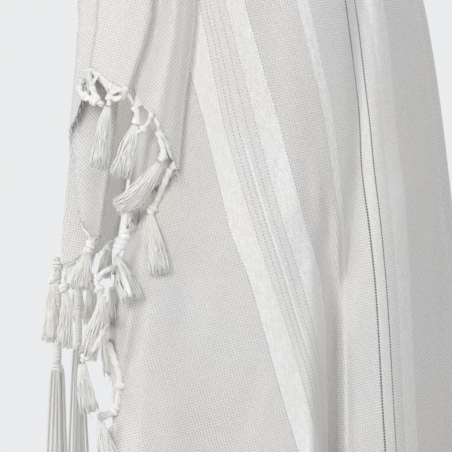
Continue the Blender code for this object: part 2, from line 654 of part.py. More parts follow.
def tzitzit_mesh(name, top, across, through):
    """A tzitzit that hangs straight down from its top."""
    down = np.array((0.0, 0.0, -1.0))
    rim = [(i, 0) for i in range(PAIRS)] + [(PAIRS, 0), (PAIRS, 1)]
    rim += [(i, 2) for i in range(PAIRS, 0, -1)] + [(0, 2), (0, 1)]
    verts, faces = [], []
    for row in HEAD_RINGS[:-1]:
        verts += [block_point(top + down * row[0] * MM, across, through, row, i, j) for i, j in rim]
    foot = top + down * HEAD_RINGS[-1][0] * MM
    last = len(verts)
    verts += [block_point(foot, across, through, HEAD_RINGS[-1], i, j) for i in range(PAIRS + 1) for j in range(3)]
    rings = [tuple(range(k, k + len(rim))) for k in range(0, last, len(rim))]
    rings.append(tuple(last + 3 * i + j for i, j in rim))
    faces.append(tuple(reversed(rings[0])))
    for upper, lower in zip(rings, rings[1:]):
        for k in range(len(rim)):
            after = (k + 1) % len(rim)
            faces.append((upper[k], upper[after], lower[after], lower[k]))
    for i in range(PAIRS):
        for j in range(2):
            cell = [last + 3 * i + j + step for step in (1, 4, 3, 0)]
            root = sum(verts[v] for v in cell) / 4
            length = STRING_LENGTH * (1.0 - SHORTER * ((i + 2 * j) % PAIRS))
            path = [root] + [foot + (root - foot) * spread + down * share * length
                             for share, spread, _, _ in STRING_RINGS]
            sizes = [(width * MM, thickness * MM) for _, _, width, thickness in STRING_RINGS]
            sweep(verts, faces, cell, path, sizes, through)
    return new_object(name, verts, faces, "Tzitzit", TZITZIT_COLOUR, 0.8)


def corner_tzitzit(side, fall, fringed):
    """The tzitzit of one side's two corners: beside the fall's inner corner, and below the hem's."""
    radius = HEAD_RINGS[1][1] * MM / 2
    up = np.array((0.0, 0.0, 1.0))
    corner = fall[-1, 0]
    away = corner - fall[-1, 1]
    away = away / np.linalg.norm(away)
    beside = corner + away * (radius + 2 * SEAM_GAP) + up * CORNER_RISE
    across = np.array((away[0], away[1], 0.0)) / math.hypot(away[0], away[1])
    tzitzit_mesh(f"tzitzit_{side.name}_top", beside, across, np.cross(across, up))
    inward = fringed[1] - fringed[0]
    inward = inward / np.linalg.norm(inward)
    below = fringed[0] + inward * CORNER_INSET - up * SEAM_GAP
    across = np.array((inward[0], inward[1], 0.0)) / math.hypot(inward[0], inward[1])
    tzitzit_mesh(f"tzitzit_{side.name}_hem", below, across, np.cross(across, up))


def build():
    """Clear the scene and build every piece."""
    for obj in list(bpy.data.objects):
        bpy.data.objects.remove(obj)
    body, body_normals = body_walls()
    first_fringed = BODY_ROWS.index(TUCK_BOTTOM * MM)
    for side in (NEAR, FAR):
        fall = fall_grid(side)
        fall_normals = grid_normals(fall)
        wall_mesh(f"cloth_fall_{side.name}", fall, fall_normals)
        fall_edge = Edge(fall[-1], fall[-1] - fall[-2], fall_normals[-1] * side.mirror)
        fringe_mesh(f"fringe_fall_{side.name}", fall_edge, FALL_LOCKS, FALL_WITHOUT, ((0.0, 0.0),), side,
                    ASKEW_FALL)
        column, inside = (0, 1) if side is NEAR else (-1, -2)
        rows = slice(first_fringed, None)
        points = body[rows, column].copy()
        off = points - body[rows, inside]
        points[0] += (points[1] - points[0]) * STRIP_START
        side_edge = Edge(points, off, body_normals[rows, column])
        fringe_mesh(f"fringe_side_{side.name}", side_edge, SIDE_LOCKS, SIDE_WITHOUT, EDGE_LANES,
                    side, ASKEW_SIDE)
        corner_tzitzit(side, fall, body[-1, (column, inside)])


build()
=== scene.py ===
"""Woollen tallit worn open over the shoulders: striped cloth, knotted fringe and corner tzitzit."""
import logging
import math
from dataclasses import dataclass, field
from enum import Enum
from typing import Callable, Sequence

import bpy
import numpy as np
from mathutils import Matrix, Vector
from mathutils.bvhtree import BVHTree


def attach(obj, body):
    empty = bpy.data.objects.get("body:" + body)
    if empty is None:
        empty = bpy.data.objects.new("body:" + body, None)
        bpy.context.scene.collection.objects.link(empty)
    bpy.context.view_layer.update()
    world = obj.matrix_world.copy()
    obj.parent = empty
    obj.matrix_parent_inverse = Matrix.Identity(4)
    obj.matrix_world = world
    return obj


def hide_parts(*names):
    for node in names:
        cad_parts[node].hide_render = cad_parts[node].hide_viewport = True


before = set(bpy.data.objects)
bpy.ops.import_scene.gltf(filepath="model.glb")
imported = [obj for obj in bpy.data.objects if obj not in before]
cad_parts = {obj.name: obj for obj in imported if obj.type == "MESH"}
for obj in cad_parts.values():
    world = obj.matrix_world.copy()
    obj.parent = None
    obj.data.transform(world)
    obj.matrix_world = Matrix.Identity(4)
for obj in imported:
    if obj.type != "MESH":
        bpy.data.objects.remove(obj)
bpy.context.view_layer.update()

logging.basicConfig(level=logging.INFO, format="%(message)s")
LOG = logging.getLogger("tallit")

MM = 0.001
BODY = "root"
NECK_Z = 0.050
SHOULDER_Z = -0.060
WAIST_Z = -0.480
HEM_Z = -1.200
UP = np.array((0.0, 0.0, 1.0))
WHITE = (1.0, 1.0, 1.0, 1.0)
CURVE_STEPS = 12
AXIS_PREFERENCE = (0.0, 0.02, 0.01)
TOP_TZITZIT_PLACE = (5.2 * MM, 8 * MM)
HEM_TZITZIT_PLACE = (14 * MM, -0.35 * MM)
Colour = tuple[float, float, float, float]


class Side(Enum):
    """A side of the wearer: how it is mirrored in x, and how far its folds lean forward at the hem."""

    NEAR = ("near", 1.0, 0.0)
    FAR = ("far", -1.0, -0.012)

    @property
    def label(self) -> str:
        """Name used in pieces of this side."""
        return self.value[0]

    @property
    def mirror(self) -> float:
        """1 on the near side and -1 on the far side."""
        return self.value[1]

    def place(self, points: np.ndarray) -> np.ndarray:
        """Turn near-side points into this side's points.

        Args:
            points: Points as the tables give them, in metres.

        Returns:
            The points on this side.
        """
        placed = points.copy()
        share = np.clip((NECK_Z - points[..., 2]) / (NECK_Z - HEM_Z), 0.0, 1.0)
        placed[..., 0] *= self.mirror
        placed[..., 1] += self.value[2] * share
        return placed


class Slot(Enum):
    """Finish slots of the shawl."""

    CLOTH = "cloth"
    FRINGE = "fringe"
    TZITZIT = "tzitzit"


@dataclass(frozen=True)
class CloseUp:
    """The upright rectangle that the camera frames, ruled into small squares."""

    square: float = 0.7 * MM
    squares: int = 452
    centre_y: float = 0.030
    top: float = -0.160
    plane_x: float = 0.272

    def y(self, column: float | np.ndarray) -> float | np.ndarray:
        """Distance behind the neck of a column of squares."""
        return self.centre_y + (column - self.squares / 2) * self.square

    def z(self, row: float | np.ndarray) -> float | np.ndarray:
        """Height of a row of squares."""
        return self.top - row * self.square


CLOSE_UP = CloseUp()


def unit(vectors: np.ndarray) -> np.ndarray:
    """Vectors at unit length."""
    return vectors / np.maximum(np.linalg.norm(vectors, axis=-1, keepdims=True), 1e-12)


def run_lengths(points: np.ndarray) -> np.ndarray:
    """Length along a line, or along each row of a grid, from its first point."""
    steps = np.linalg.norm(np.diff(points, axis=-2), axis=-1)
    return np.concatenate((np.zeros_like(steps[..., :1]), np.cumsum(steps, axis=-1)), axis=-1)


def read_along(line: np.ndarray, run: np.ndarray, at: np.ndarray) -> np.ndarray:
    """Read the points or directions of a line where a length along it is reached.

    Args:
        line: A point or direction for each length in run.
        run: Rising lengths along the line.
        at: Lengths at which to read.

    Returns:
        What stands at those lengths.
    """
    return np.stack([np.interp(at, run, values) for values in line.T], axis=-1)


def linked(name: str, data: bpy.types.ID) -> bpy.types.Object:
    """Put a new object with its data in the scene."""
    obj = bpy.data.objects.new(name, data)
    bpy.context.collection.objects.link(obj)
    return obj


def smooth(xs: Sequence[float], ys: Sequence[float], x: float | np.ndarray) -> np.ndarray:
    """Read a smooth curve that goes through points and never overshoots them.

    Args:
        xs: Places of the points, rising or falling.
        ys: Values at the points.
        x: Where the curve is read.

    Returns:
        The values at x, level past both ends.
    """
    xs, ys = np.asarray(xs, float), np.asarray(ys, float)
    if xs[0] > xs[-1]:
        xs, ys = xs[::-1], ys[::-1]
    x = np.clip(x, xs[0], xs[-1])
    slopes = np.diff(ys) / np.diff(xs)
    tangents = np.zeros_like(ys)
    same_way = slopes[:-1] * slopes[1:] > 0
    mean = 2.0 * slopes[:-1] * slopes[1:] / np.where(same_way, slopes[:-1] + slopes[1:], 1.0)
    tangents[1:-1] = np.where(same_way, mean, 0.0)
    tangents[0], tangents[-1] = slopes[0], slopes[-1]
    i = np.clip(np.searchsorted(xs, x, side="right") - 1, 0, len(slopes) - 1)
    span = xs[i + 1] - xs[i]
    t = (x - xs[i]) / span
    start = (1 + 2 * t) * (1 - t) ** 2 * ys[i] + t * (1 - t) ** 2 * span * tangents[i]
    return start + t * t * (3 - 2 * t) * ys[i + 1] + t * t * (t - 1) * span * tangents[i + 1]


@dataclass(frozen=True)
class Figure:
    """The hanging form round a general figure: height, half width, front depth and back depth."""

    rows: tuple[tuple[float, float, float, float], ...] = (
        (0.050, 0.070, 0.070, 0.078),
        (0.030, 0.122, 0.084, 0.094),
        (0.000, 0.194, 0.104, 0.116),
        (-0.050, 0.236, 0.120, 0.146),
        (-0.160, 0.262, 0.132, 0.182),
        (-0.350, 0.276, 0.142, 0.204),
        (-0.600, 0.292, 0.156, 0.228),
        (-1.200, 0.326, 0.180, 0.262),
    )
    squareness: float = 2.6
    proud_start: float = math.radians(26.0)
    proud_end: float = math.radians(58.0)
    neck_zone: float = 0.10
    widest: float = 0.97
    slope_reach: float = 4 * MM
    readings: int = 2501

    def sizes(self, z: np.ndarray) -> list[np.ndarray]:
        """Half width, front depth and back depth at heights.

        Args:
            z: Heights in metres.

        Returns:
            The three sizes, each shaped as z is.
        """
        heights, *columns = zip(*self.rows)
        dense = np.linspace(HEM_Z, NECK_Z, self.readings)
        return [np.interp(z, dense, smooth(heights, column, dense)) for column in columns]

    def turn_at(self, y: np.ndarray, z: np.ndarray) -> np.ndarray:
        """Turn round the figure of a point of the near side that lies y behind the neck."""
        half_width, front, back = self.sizes(z)
        share = np.minimum(np.abs(y) / np.where(y > 0, back, front), self.widest)
        return np.arctan2(y, half_width * (1.0 - share ** self.squareness) ** (1.0 / self.squareness))

    def slope(self, z: np.ndarray) -> np.ndarray:
        """Angle by which the shoulders' outer face looks up."""
        high, low = np.minimum(z + self.slope_reach, NECK_Z), np.maximum(z - self.slope_reach, HEM_Z)
        angle = np.arctan2(self.sizes(low)[0] - self.sizes(high)[0], high - low)
        return np.where(z > SHOULDER_Z, angle, 0.0)

    def proud(self, turn: np.ndarray, lift: np.ndarray, z: np.ndarray) -> np.ndarray:
        """Points that stand a lift above the form.

        Args:
            turn: Turn round the figure, from the near side by way of the back, in radians.
            lift: Height above the form in metres.
            z: Heights in metres.

        Returns:
            The points, with x, y and z on the last axis.
        """
        half_width, front, back = self.sizes(z)
        depth = np.where(np.sin(turn) > 0, back, front)
        across = np.abs(np.cos(turn) / half_width) ** self.squareness
        reach = (across + np.abs(np.sin(turn) / depth) ** self.squareness) ** (-1.0 / self.squareness)
        side_turn = np.minimum(turn, math.pi - turn)
        share = np.clip((np.abs(side_turn) - self.proud_start) / (self.proud_end - self.proud_start), 0, 1)
        share = np.maximum(share, np.clip(1.0 - (NECK_Z - z) / self.neck_zone, 0, 1))
        angle = np.where(turn < math.pi / 2, share * side_turn, math.pi - share * side_turn)
        slope = self.slope(z)
        out = lift * np.cos(slope)
        x = reach * np.cos(turn) + out * np.cos(angle)
        y = reach * np.sin(turn) + out * np.sin(angle)
        return np.stack((x, y, z + lift * np.sin(slope)), axis=-1)

    def side(self, y: np.ndarray, lift: np.ndarray, z: np.ndarray) -> np.ndarray:
        """Points of the near side that lie y behind the neck and a lift above the form."""
        y, lift, z = np.broadcast_arrays(*(np.asarray(v, float) for v in (y, lift, z)))
        return self.proud(self.turn_at(y, z), lift, z)


FIGURE = Figure()


@dataclass(frozen=True)
class Crease:
    """A crease sunk into or raised from the cloth, along a line through squares of the close-up."""

    line: tuple[tuple[float, float], ...]
    half_width: float
    height: float
    fade: float = 20.0

    def lift(self, y: np.ndarray, z: np.ndarray) -> np.ndarray:
        """Height that the crease adds at points of the near side.

        Args:
            y: Distance behind the neck.
            z: Height.

        Returns:
            The added height in metres.
        """
        apart = np.full(y.shape, np.inf)
        place, run = np.zeros(y.shape), 0.0
        corners = [(CLOSE_UP.y(column), CLOSE_UP.z(row)) for column, row in self.line]
        for (from_y, from_z), (to_y, to_z) in zip(corners, corners[1:]):
            along_y, along_z = to_y - from_y, to_z - from_z
            length = math.hypot(along_y, along_z)
            share = np.clip(((y - from_y) * along_y + (z - from_z) * along_z) / length ** 2, 0.0, 1.0)
            off = np.hypot(y - from_y - share * along_y, z - from_z - share * along_z)
            place = np.where(off < apart, run + share * length, place)
            apart = np.minimum(apart, off)
            run += length
        ease = np.clip(np.minimum(place, run - place) / (self.fade * MM), 0.0, 1.0)
        round_off = np.exp(-(apart / (self.half_width * MM)) ** 2)
        return self.height * MM * ease * ease * (3 - 2 * ease) * round_off


@dataclass
class ClothGrid:
    """A stretch of cloth as a grid of points, with its normals and its two woven coordinates."""

    points: np.ndarray
    normals: np.ndarray
    weave: np.ndarray
    stripe: np.ndarray

    def backwards(self) -> "ClothGrid":
        """The same stretch with its columns in the opposite order."""
        return ClothGrid(*(values[:, ::-1] for values in vars(self).values()))

    def wall(self, name: str, thickness: float) -> bpy.types.Object:
        """Make the closed thin wall of this cloth.

        Args:
            name: Name of the piece.
            thickness: Thickness of the cloth in metres.

        Returns:
            The new object, with UV maps Weave and Stripe in metres.
        """
        rows, columns = self.points.shape[:2]
        count = rows * columns
        index = np.arange(count).reshape(rows, columns)
        a, b = index[:-1, :-1].ravel(), index[1:, :-1].ravel()
        c, d = index[1:, 1:].ravel(), index[:-1, 1:].ravel()
        rim = np.concatenate((index[0, :], index[1:, -1], index[-1, -2::-1], index[-2:0:-1, 0]))
        after = np.roll(rim, -1)
        faces = np.vstack((np.stack((a, b, c, d), 1), np.stack((d, c, b, a), 1) + count,
                           np.stack((rim, after, after + count, rim + count), 1)))
        if np.sum(grid_normals(self.points, 1.0) * self.normals) < 0:
            faces = faces[:, ::-1]
        half = self.normals * thickness / 2
        verts = np.vstack(((self.points + half).reshape(-1, 3), (self.points - half).reshape(-1, 3)))
        mesh = bpy.data.meshes.new(name)
        mesh.from_pydata(verts.tolist(), [], faces.tolist())
        for label, values in (("Weave", self.weave), ("Stripe", self.stripe)):
            flat = np.tile(values.reshape(-1, 2), (2, 1))
            layer = mesh.uv_layers.new(name=label)
            layer.data.foreach_set("uv", flat[faces.ravel()].ravel())
        mesh.shade_smooth()
        outward = self.normals.reshape(-1, 3)
        mesh.normals_split_custom_set_from_vertices(np.vstack((outward, -outward)).tolist())
        return linked(name, mesh)


def grid_normals(points: np.ndarray, outward: float) -> np.ndarray:
    """Unit normals of a grid of points.

    Args:
        points: The grid, with x, y and z on its last axis.
        outward: 1 where rows down and columns backwards give the outer face, else -1.

    Returns:
        A normal for each point.
    """
    return unit(np.cross(np.gradient(points, axis=0), np.gradient(points, axis=1)) * outward)


def along_threads(points: np.ndarray, across: np.ndarray, anchor: int) -> np.ndarray:
    """Thread coordinate that runs square to another one over a grid.

    Args:
        points: The grid of points.
        across: The coordinate across the stripes at each point.
        anchor: Column from which the rows are worked out.

    Returns:
        The coordinate along the stripes at each point, in metres.
    """
    down, side = np.gradient(points, axis=0), np.gradient(points, axis=1)
    across_down, across_side = np.gradient(across, axis=0), np.gradient(across, axis=1)
    e, f, g = np.sum(side * side, 2), np.sum(side * down, 2), np.sum(down * down, 2)
    area = np.sqrt(np.maximum(e * g - f * f, 1e-16))
    step_side = (f * across_side - e * across_down) / area
    step_down = (g * across_side - f * across_down) / area
    column = np.concatenate(((0.0,), np.cumsum((step_down[1:, anchor] + step_down[:-1, anchor]) / 2)))
    along = np.zeros_like(across)
    along[:, 1:] = np.cumsum((step_side[:, 1:] + step_side[:, :-1]) / 2, axis=1)
    return along - along[:, anchor:anchor + 1] + column[:, None]


def joined(values: np.ndarray, fine: int) -> np.ndarray:
    """Round off a grid across its columns with a smooth curve through each row.

    Args:
        values: The grid, with its columns on the second axis.
        fine: Steps between neighbouring columns.

    Returns:
        The grid with fine steps between its columns.
    """
    columns = values.shape[1]
    at = np.linspace(0.0, columns - 1.0, (columns - 1) * fine + 1)
    k = np.minimum(at.astype(int), columns - 2)
    t = (at - k)[None, :, None]
    before, here = values[:, np.maximum(k - 1, 0)], values[:, k]
    after, beyond = values[:, k + 1], values[:, np.minimum(k + 2, columns - 1)]
    return 0.5 * (2 * here + (after - before) * t + (2 * before - 5 * here + 4 * after - beyond) * t * t
                  + (3 * here - before - 3 * after + beyond) * t ** 3)


@dataclass(frozen=True)
class Stripes:
    """Where the woven stripes lie: distance from the fringed side, and y in mm at heights."""

    heights: tuple[float, ...] = (-0.160, -0.200, -0.240, -0.280, -0.320, -0.360, -0.400, -0.440, -0.476)
    lines: tuple[tuple[float, tuple[float, ...]], ...] = (
        (0.1250, (-9, 2, 13, 23, 32.5, 47.5, 58.7, 69.6, 80.4)),
        (0.1425, (11, 19.5, 27, 37.7, 50, 63, 76, 86.7, 96)),
        (0.1627, (29, 39, 49, 59.4, 71, 83, 93, 98.6, 100)),
        (0.1785, (43, 54, 65.5, 76, 86.7, 97.5, 100.7, 101.4, 102)),
        (0.2036, (80, 89.5, 99, 105, 110.5, 112.6, 113, 113.6, 114)),
        (0.2086, (88, 96.5, 105, 109.5, 113.4, 114.7, 115, 115.6, 116)),
        (0.2236, (115.4, 120.6, 125.2, 127.8, 132, 135.7, 138, 140, 142)),
        (0.2318, (122.8, 128, 132.2, 135.8, 139.8, 143.3, 145.7, 147.8, 149.8)),
    )
    lean: float = 0.96
    lay: tuple[tuple[float, float], ...] = (
        (0.050, -52), (-0.060, -37.2), (-0.160, -9), (-0.320, 36), (-0.476, 80.4), (-0.600, 115),
        (-0.800, 136), (-1.200, 141))

    def lay_start(self, plain: np.ndarray, z: np.ndarray) -> np.ndarray:
        """Where the straight lay of the threads meets each row.

        Args:
            plain: The grid along which the threads are laid out.
            z: Heights of the rows.

        Returns:
            The length along each row, below zero where the lay starts in front of the first column.
        """
        heights, ys = zip(*self.lay)
        lay = smooth(heights, np.array(ys) * MM, z)
        rows = zip(lay, np.maximum.accumulate(plain[..., 1], axis=1), run_lengths(plain))
        behind = np.array([np.interp(y, row, run) for y, row, run in rows])
        return behind + np.minimum(lay - plain[:, 0, 1], 0.0)

    def across(self, points: np.ndarray, z: np.ndarray) -> np.ndarray:
        """Distance from the fringed side at each point of a near-side grid.

        Args:
            points: The grid, a row for each height.
            z: Heights of the rows, falling.

        Returns:
            The distance at each point; above and below the table it follows the columns.
        """
        known, tables = zip(*self.lines)
        ys = np.array([smooth(self.heights, table, z) for table in tables]).T * MM
        across = run_lengths(points)
        for r, run in enumerate(across):
            at = np.interp(ys[r], np.maximum.accumulate(points[r, :, 1]), run)
            row = np.interp(run, at, known)
            row = np.where(run < at[0], known[0] - (at[0] - run) * self.lean, row)
            across[r] = np.where(run > at[-1], known[-1] + (run - at[-1]) * self.lean, row)
        inside = np.flatnonzero((z <= self.heights[0]) & (z >= self.heights[-1]))
        across[:inside[0]] = across[inside[0]]
        across[inside[-1] + 1:] = across[inside[-1]]
        return across


@dataclass
class BodyCloth:
    """The side panels and the back, which are one stretch of hanging cloth."""

    stripes: Stripes
    thickness: float = 1.2 * MM
    heights: tuple[float, ...] = (
        0.050, 0.000, -0.160, -0.240, -0.300, -0.320, -0.360, -0.400, -0.440, -0.480, -0.800, -1.200)
    folds: tuple[tuple[str, tuple[float, ...], tuple[float, ...]], ...] = (
        ("fringed_edge", (-12, -20, -23, -29, -34, -37, -50, -54, -49, -51, -66, -84),
         (0, -2, -8, -22, -44, -45, -40, -31, -22, -14, -8, -6)),
        ("turn_in", (-9, -15, -17, -22, -28, -33, -42, -47, -42, -44, -58, -75),
         (0, -1, -4, -11, -21, -20, -17, -14, -11, -8, -4, -3)),
        ("front_ridge", (-6, -9, -9, -13, -22, -26, -29, -37, -35, -38, -49, -63),
         (0, 0, -1, -3, -5, -4, -4, -5, -5, -3, 0, 2)),
        ("ridge_back", (-3, -3, 0, -2, -10, -15, -18, -24, -25, -28, -37, -47),
         (0, 0, 0, -1, -1, -1, -1, -1, -1, 0, 4, 8)),
        ("shallow_dip", (2, 7, 11, 13, 12, 10, 10, 13, 17, 22, 24, 12),
         (0, 0, 0, -1, -2, -2, -3, -4, -4, -4, -8, -14)),
        ("stripe_crest", (6, 16, 25, 40, 54, 60, 70, 78, 84, 88, 84, 70),
         (0, 0, 0, 1, 2, 3, 4, 4, 5, 6, 11, 17)),
        ("valley_rim", (10, 28, 42, 62, 77, 82, 90, 94, 95, 96, 92, 84),
         (0, 0, 0, 0, 0, 0, -1, -2, -4, -6, -8, -9)),
        ("valley_floor", (12, 36, 56, 78, 91, 94, 98, 101, 102, 103, 101, 97),
         (0, -1, -1, -2, -3, -5, -8, -12, -15, -18, -22, -27)),
        ("valley_foot", (14, 45, 67, 88, 99, 102, 105, 107, 108, 108, 107, 105),
         (0, -1, -1, -2, -3, -5, -9, -12, -14, -17, -21, -25)),
        ("pleat_edge", (17, 53, 81, 99, 108, 110, 112, 113, 114, 114, 115, 115),
         (0, 0, 0, 0, 1, 1, 2, 2, 2, 2, 4, 7)),
        ("pleat_back", (21, 66, 95, 112, 120, 122, 125, 127, 128, 129, 132, 134),
         (0, 0, 1, 1, 1, 1, 1, 1, 1, 2, 6, 11)),
        ("ribbon_crest", (26, 79, 118, 130, 135, 136, 138, 140, 141, 142, 147, 154),
         (0, 0, 1, 2, 2, 2, 2, 2, 2, 2, 0, -4)),
    )
    steps: tuple[int, ...] = (1, 1, 2, 2, 4, 2, 1, 1, 1, 1, 2)
    seam_turn: float = math.radians(62.0)
    seam_steps: int = 24
    back_steps: int = 22
    back_folds: tuple[tuple[float, float, float, float, float], ...] = (
        (48.0, 4.5, 0.0, -9.0, -17.0),
        (55.0, 4.0, 1.0, 6.0, 15.0),
        (64.0, 4.5, -3.0, -11.0, -21.0),
        (72.0, 5.0, 2.0, 8.0, 18.0),
        (81.0, 4.0, -1.0, -7.0, -19.0),
        (88.0, 5.0, 3.0, 5.0, 14.0),
        (97.0, 5.0, -2.0, -12.0, -23.0),
        (105.0, 4.5, 1.0, 9.0, 17.0),
        (113.0, 4.0, -2.0, -6.0, -16.0),
        (121.0, 5.0, 1.0, 7.0, 19.0),
        (130.0, 4.5, 0.0, -10.0, -20.0),
    )
    weave_relief: float = 0.3
    near_fine: int = 6
    far_fine: int = 3
    back_fine: int = 3
    near_anchor: int = 60
    far_anchor: int = 40
    back_anchor: int = 30
    far_crease_rise: float = 0.055
    row_bands: tuple[tuple[float, float, int], ...] = (
        (NECK_Z, -0.150, 46), (-0.150, -0.480, 133), (-0.480, HEM_Z, 134))
    creases: tuple[Crease, ...] = (
        Crease(((362, -150), (362, 0), (364, 100), (360, 180), (354, 222), (348, 265), (338, 308), (330, 380),
                (330, 480), (330, 640)), 7.0, -6.5, 60.0),
        Crease(((360, 120), (358, 180), (352, 225), (347, 265), (342, 308), (338, 400), (340, 480),
                (340, 640)), 4.6, -5.5, 40.0),
        Crease(((361, -150), (361, 0), (362, 100), (357, 190), (350, 260), (343, 335)), 15.0, -4.8, 50.0),
        Crease(((316, 120), (320, 190), (316, 240), (311, 295), (312, 350), (315, 420), (316, 500),
                (316, 620)), 6.5, 3.4, 50.0),
        Crease(((304, -160), (306, 0), (308, 100), (304, 190), (300, 260)), 16.0, 4.5, 50.0),
        Crease(((384, -120), (380, 0), (380, 120), (382, 200)), 8.0, 2.4, 40.0),
        Crease(((398, 100), (395, 300), (395, 460), (400, 700)), 23.0, 14.0, 90.0),
        Crease(((338, 190), (340, 250), (342, 300), (346, 350), (348, 400), (349, 470), (350, 620)),
               2.8, 1.5, 40.0),
        Crease(((345, 196), (349, 262), (352, 330), (354, 400), (355, 470), (356, 620)), 3.4, -1.5, 50.0),
        Crease(((290, -80), (286, 40), (292, 140), (300, 230)), 9.0, 1.6),
        Crease(((186, 232), (184, 290), (180, 352)), 9.0, -1.3),
        Crease(((222, 236), (214, 300), (206, 372)), 8.0, 0.9),
        Crease(((262, 352), (250, 400), (236, 452)), 7.0, -1.0),
        Crease(((163, 168), (154, 190), (146, 214), (137, 280), (128, 350)), 5.0, 1.0),
        Crease(((238, 4), (250, 50), (262, 92)), 8.0, -1.1),
        Crease(((166, 380), (176, 470)), 8.0, 1.2),
        Crease(((145, 288), (139, 326), (131, 360), (123, 400)), 3.6, -3.6, 18.0),
        Crease(((131, 290), (126, 336), (121, 380)), 4.0, 4.0, 18.0),
        Crease(((334, 300), (326, 262), (318, 226)), 5.0, -1.8, 14.0),
        Crease(((150, 560), (160, 900)), 14.0, 3.0),
        Crease(((215, 640), (200, 1000), (190, 1300)), 12.0, -3.0),
        Crease(((250, 520), (262, 820)), 9.0, 2.2),
        Crease(((300, 900), (280, 1400)), 10.0, 2.6),
        Crease(((130, 1000), (150, 1480)), 11.0, -2.4),
    )

    def rows(self) -> np.ndarray:
        """Heights of the rows, closest together where the folds are sharpest."""
        return np.concatenate([np.linspace(*band)[:-1] for band in self.row_bands] + [(HEM_Z,)])

    def back_lift(self, turn: np.ndarray, z: np.ndarray) -> np.ndarray:
        """Depth of the rear folds.

        Args:
            turn: Turn round the figure in radians.
            z: Heights in metres.

        Returns:
            The depth at each turn and height, in metres.
        """
        total = 0.0
        for centre, half_width, *depths in self.back_folds:
            depth = smooth((NECK_Z, SHOULDER_Z, WAIST_Z, HEM_Z), (0.0, *depths), z)
            total = total + depth * np.exp(-((np.degrees(turn) - centre) / half_width) ** 2)
        return total * MM

    def side_shape(self, side: Side, z: np.ndarray) -> tuple[np.ndarray, np.ndarray]:
        """Turns and lifts of a side panel, from the fringed edge to the seam.

        Args:
            side: The side of the wearer.
            z: Heights of the rows.

        Returns:
            The turn and the lift at each grid point.
        """
        fine = self.near_fine if side is Side.NEAR else self.far_fine
        ys, lifts = (np.array([smooth(self.heights, row[k], z) for row in self.folds]) * MM for k in (1, 2))
        index = np.cumsum((0,) + self.steps)
        at = np.linspace(0.0, index[-1], index[-1] * fine + 1)
        turn, lift = (np.array([smooth(index, row, at) for row in rows.T])
                      for rows in (FIGURE.turn_at(ys, z[None, :]), lifts))
        share = np.linspace(0.0, 1.0, self.seam_steps + 1)[1:]
        tail_turn = turn[:, -1:] + (self.seam_turn - turn[:, -1:]) * share
        back_turn = tail_turn if side is Side.NEAR else math.pi - tail_turn
        tail_lift = lift[:, -1:] * (1 - share) + self.back_lift(back_turn, z[:, None]) * share
        return np.hstack((turn, tail_turn)), np.hstack((lift, tail_lift))

    def side_points(self, side: Side, z: np.ndarray) -> tuple[np.ndarray, np.ndarray, np.ndarray]:
        """Points of a side panel, with and without its creases, and their distance across the stripes.

        Args:
            side: The side of the wearer.
            z: Heights of the rows.

        Returns:
            The creased grid, the flatter plain grid and the distance from the fringed side at each point.
        """
        turn, lift = self.side_shape(side, z)
        heights = np.broadcast_to(z[:, None], turn.shape)
        y = FIGURE.proud(turn, lift, heights)[..., 1]
        plain = FIGURE.proud(turn, self.weave_relief * lift, heights)
        rise = 0.0 if side is Side.NEAR else self.far_crease_rise
        for crease in self.creases:
            lift = lift + crease.lift(y, heights + rise)
        points = FIGURE.proud(turn, lift, heights)
        return side.place(points), side.place(plain), self.stripes.across(points, z)

    def back_points(self, z: np.ndarray) -> np.ndarray:
        """Points of the back between the two seams, which are left out."""
        steps = self.back_steps * self.back_fine
        turn = np.linspace(self.seam_turn, math.pi - self.seam_turn, steps + 1)[1:-1][None, :]
        heights = np.broadcast_to(z[:, None], (len(z), steps - 1))
        points = FIGURE.proud(np.broadcast_to(turn, heights.shape), self.back_lift(turn, heights), heights)
        share = np.clip((turn - math.pi / 2) / (math.pi / 2 - self.seam_turn), 0.0, 1.0)
        points[..., 1] += (Side.FAR.place(points)[..., 1] - points[..., 1]) * share
        return points

    def woven(self, points: np.ndarray, normals: np.ndarray, plain: np.ndarray, across: np.ndarray,
              anchor: int) -> ClothGrid:
        """Give a stretch its woven coordinates.

        Args:
            points: The grid of points.
            normals: Normal at each point.
            plain: The grid without its creases, along which the threads are laid out.
            across: Distance across the stripes at each point.
            anchor: Column from which the threads are laid out.

        Returns:
            The stretch with its coordinates.
        """
        start = self.stripes.lay_start(plain, self.rows())
        even = (run_lengths(plain) - start[:, None]) * self.stripes.lean + self.stripes.lines[0][0]
        along = along_threads(plain, even, anchor)
        return ClothGrid(points, normals, np.stack((even, along), 2), np.stack((across, along), 2))

    def grids(self) -> dict[str, ClothGrid]:
        """The near side, the back and the far side as grids."""
        z = self.rows()
        near, near_plain, near_across = self.side_points(Side.NEAR, z)
        far, far_plain, far_across = self.side_points(Side.FAR, z)
        back = self.back_points(z)
        points = np.concatenate((near, back, far[:, ::-1]), axis=1)
        normals = grid_normals(points, 1.0)
        first, last = near.shape[1], near.shape[1] + back.shape[1]
        middle = slice(first - 1, last + 1)
        onward = near_across[:, -1:] + run_lengths(points[:, middle])
        far_normals = normals[:, last:][:, ::-1]
        return {
            "side_near": self.woven(near, normals[:, :first], near_plain, near_across, self.near_anchor),
            "back": self.woven(points[:, middle], normals[:, middle], points[:, middle], onward,
                               self.back_anchor),
            "side_far": self.woven(far, far_normals, far_plain, far_across, self.far_anchor).backwards(),
        }


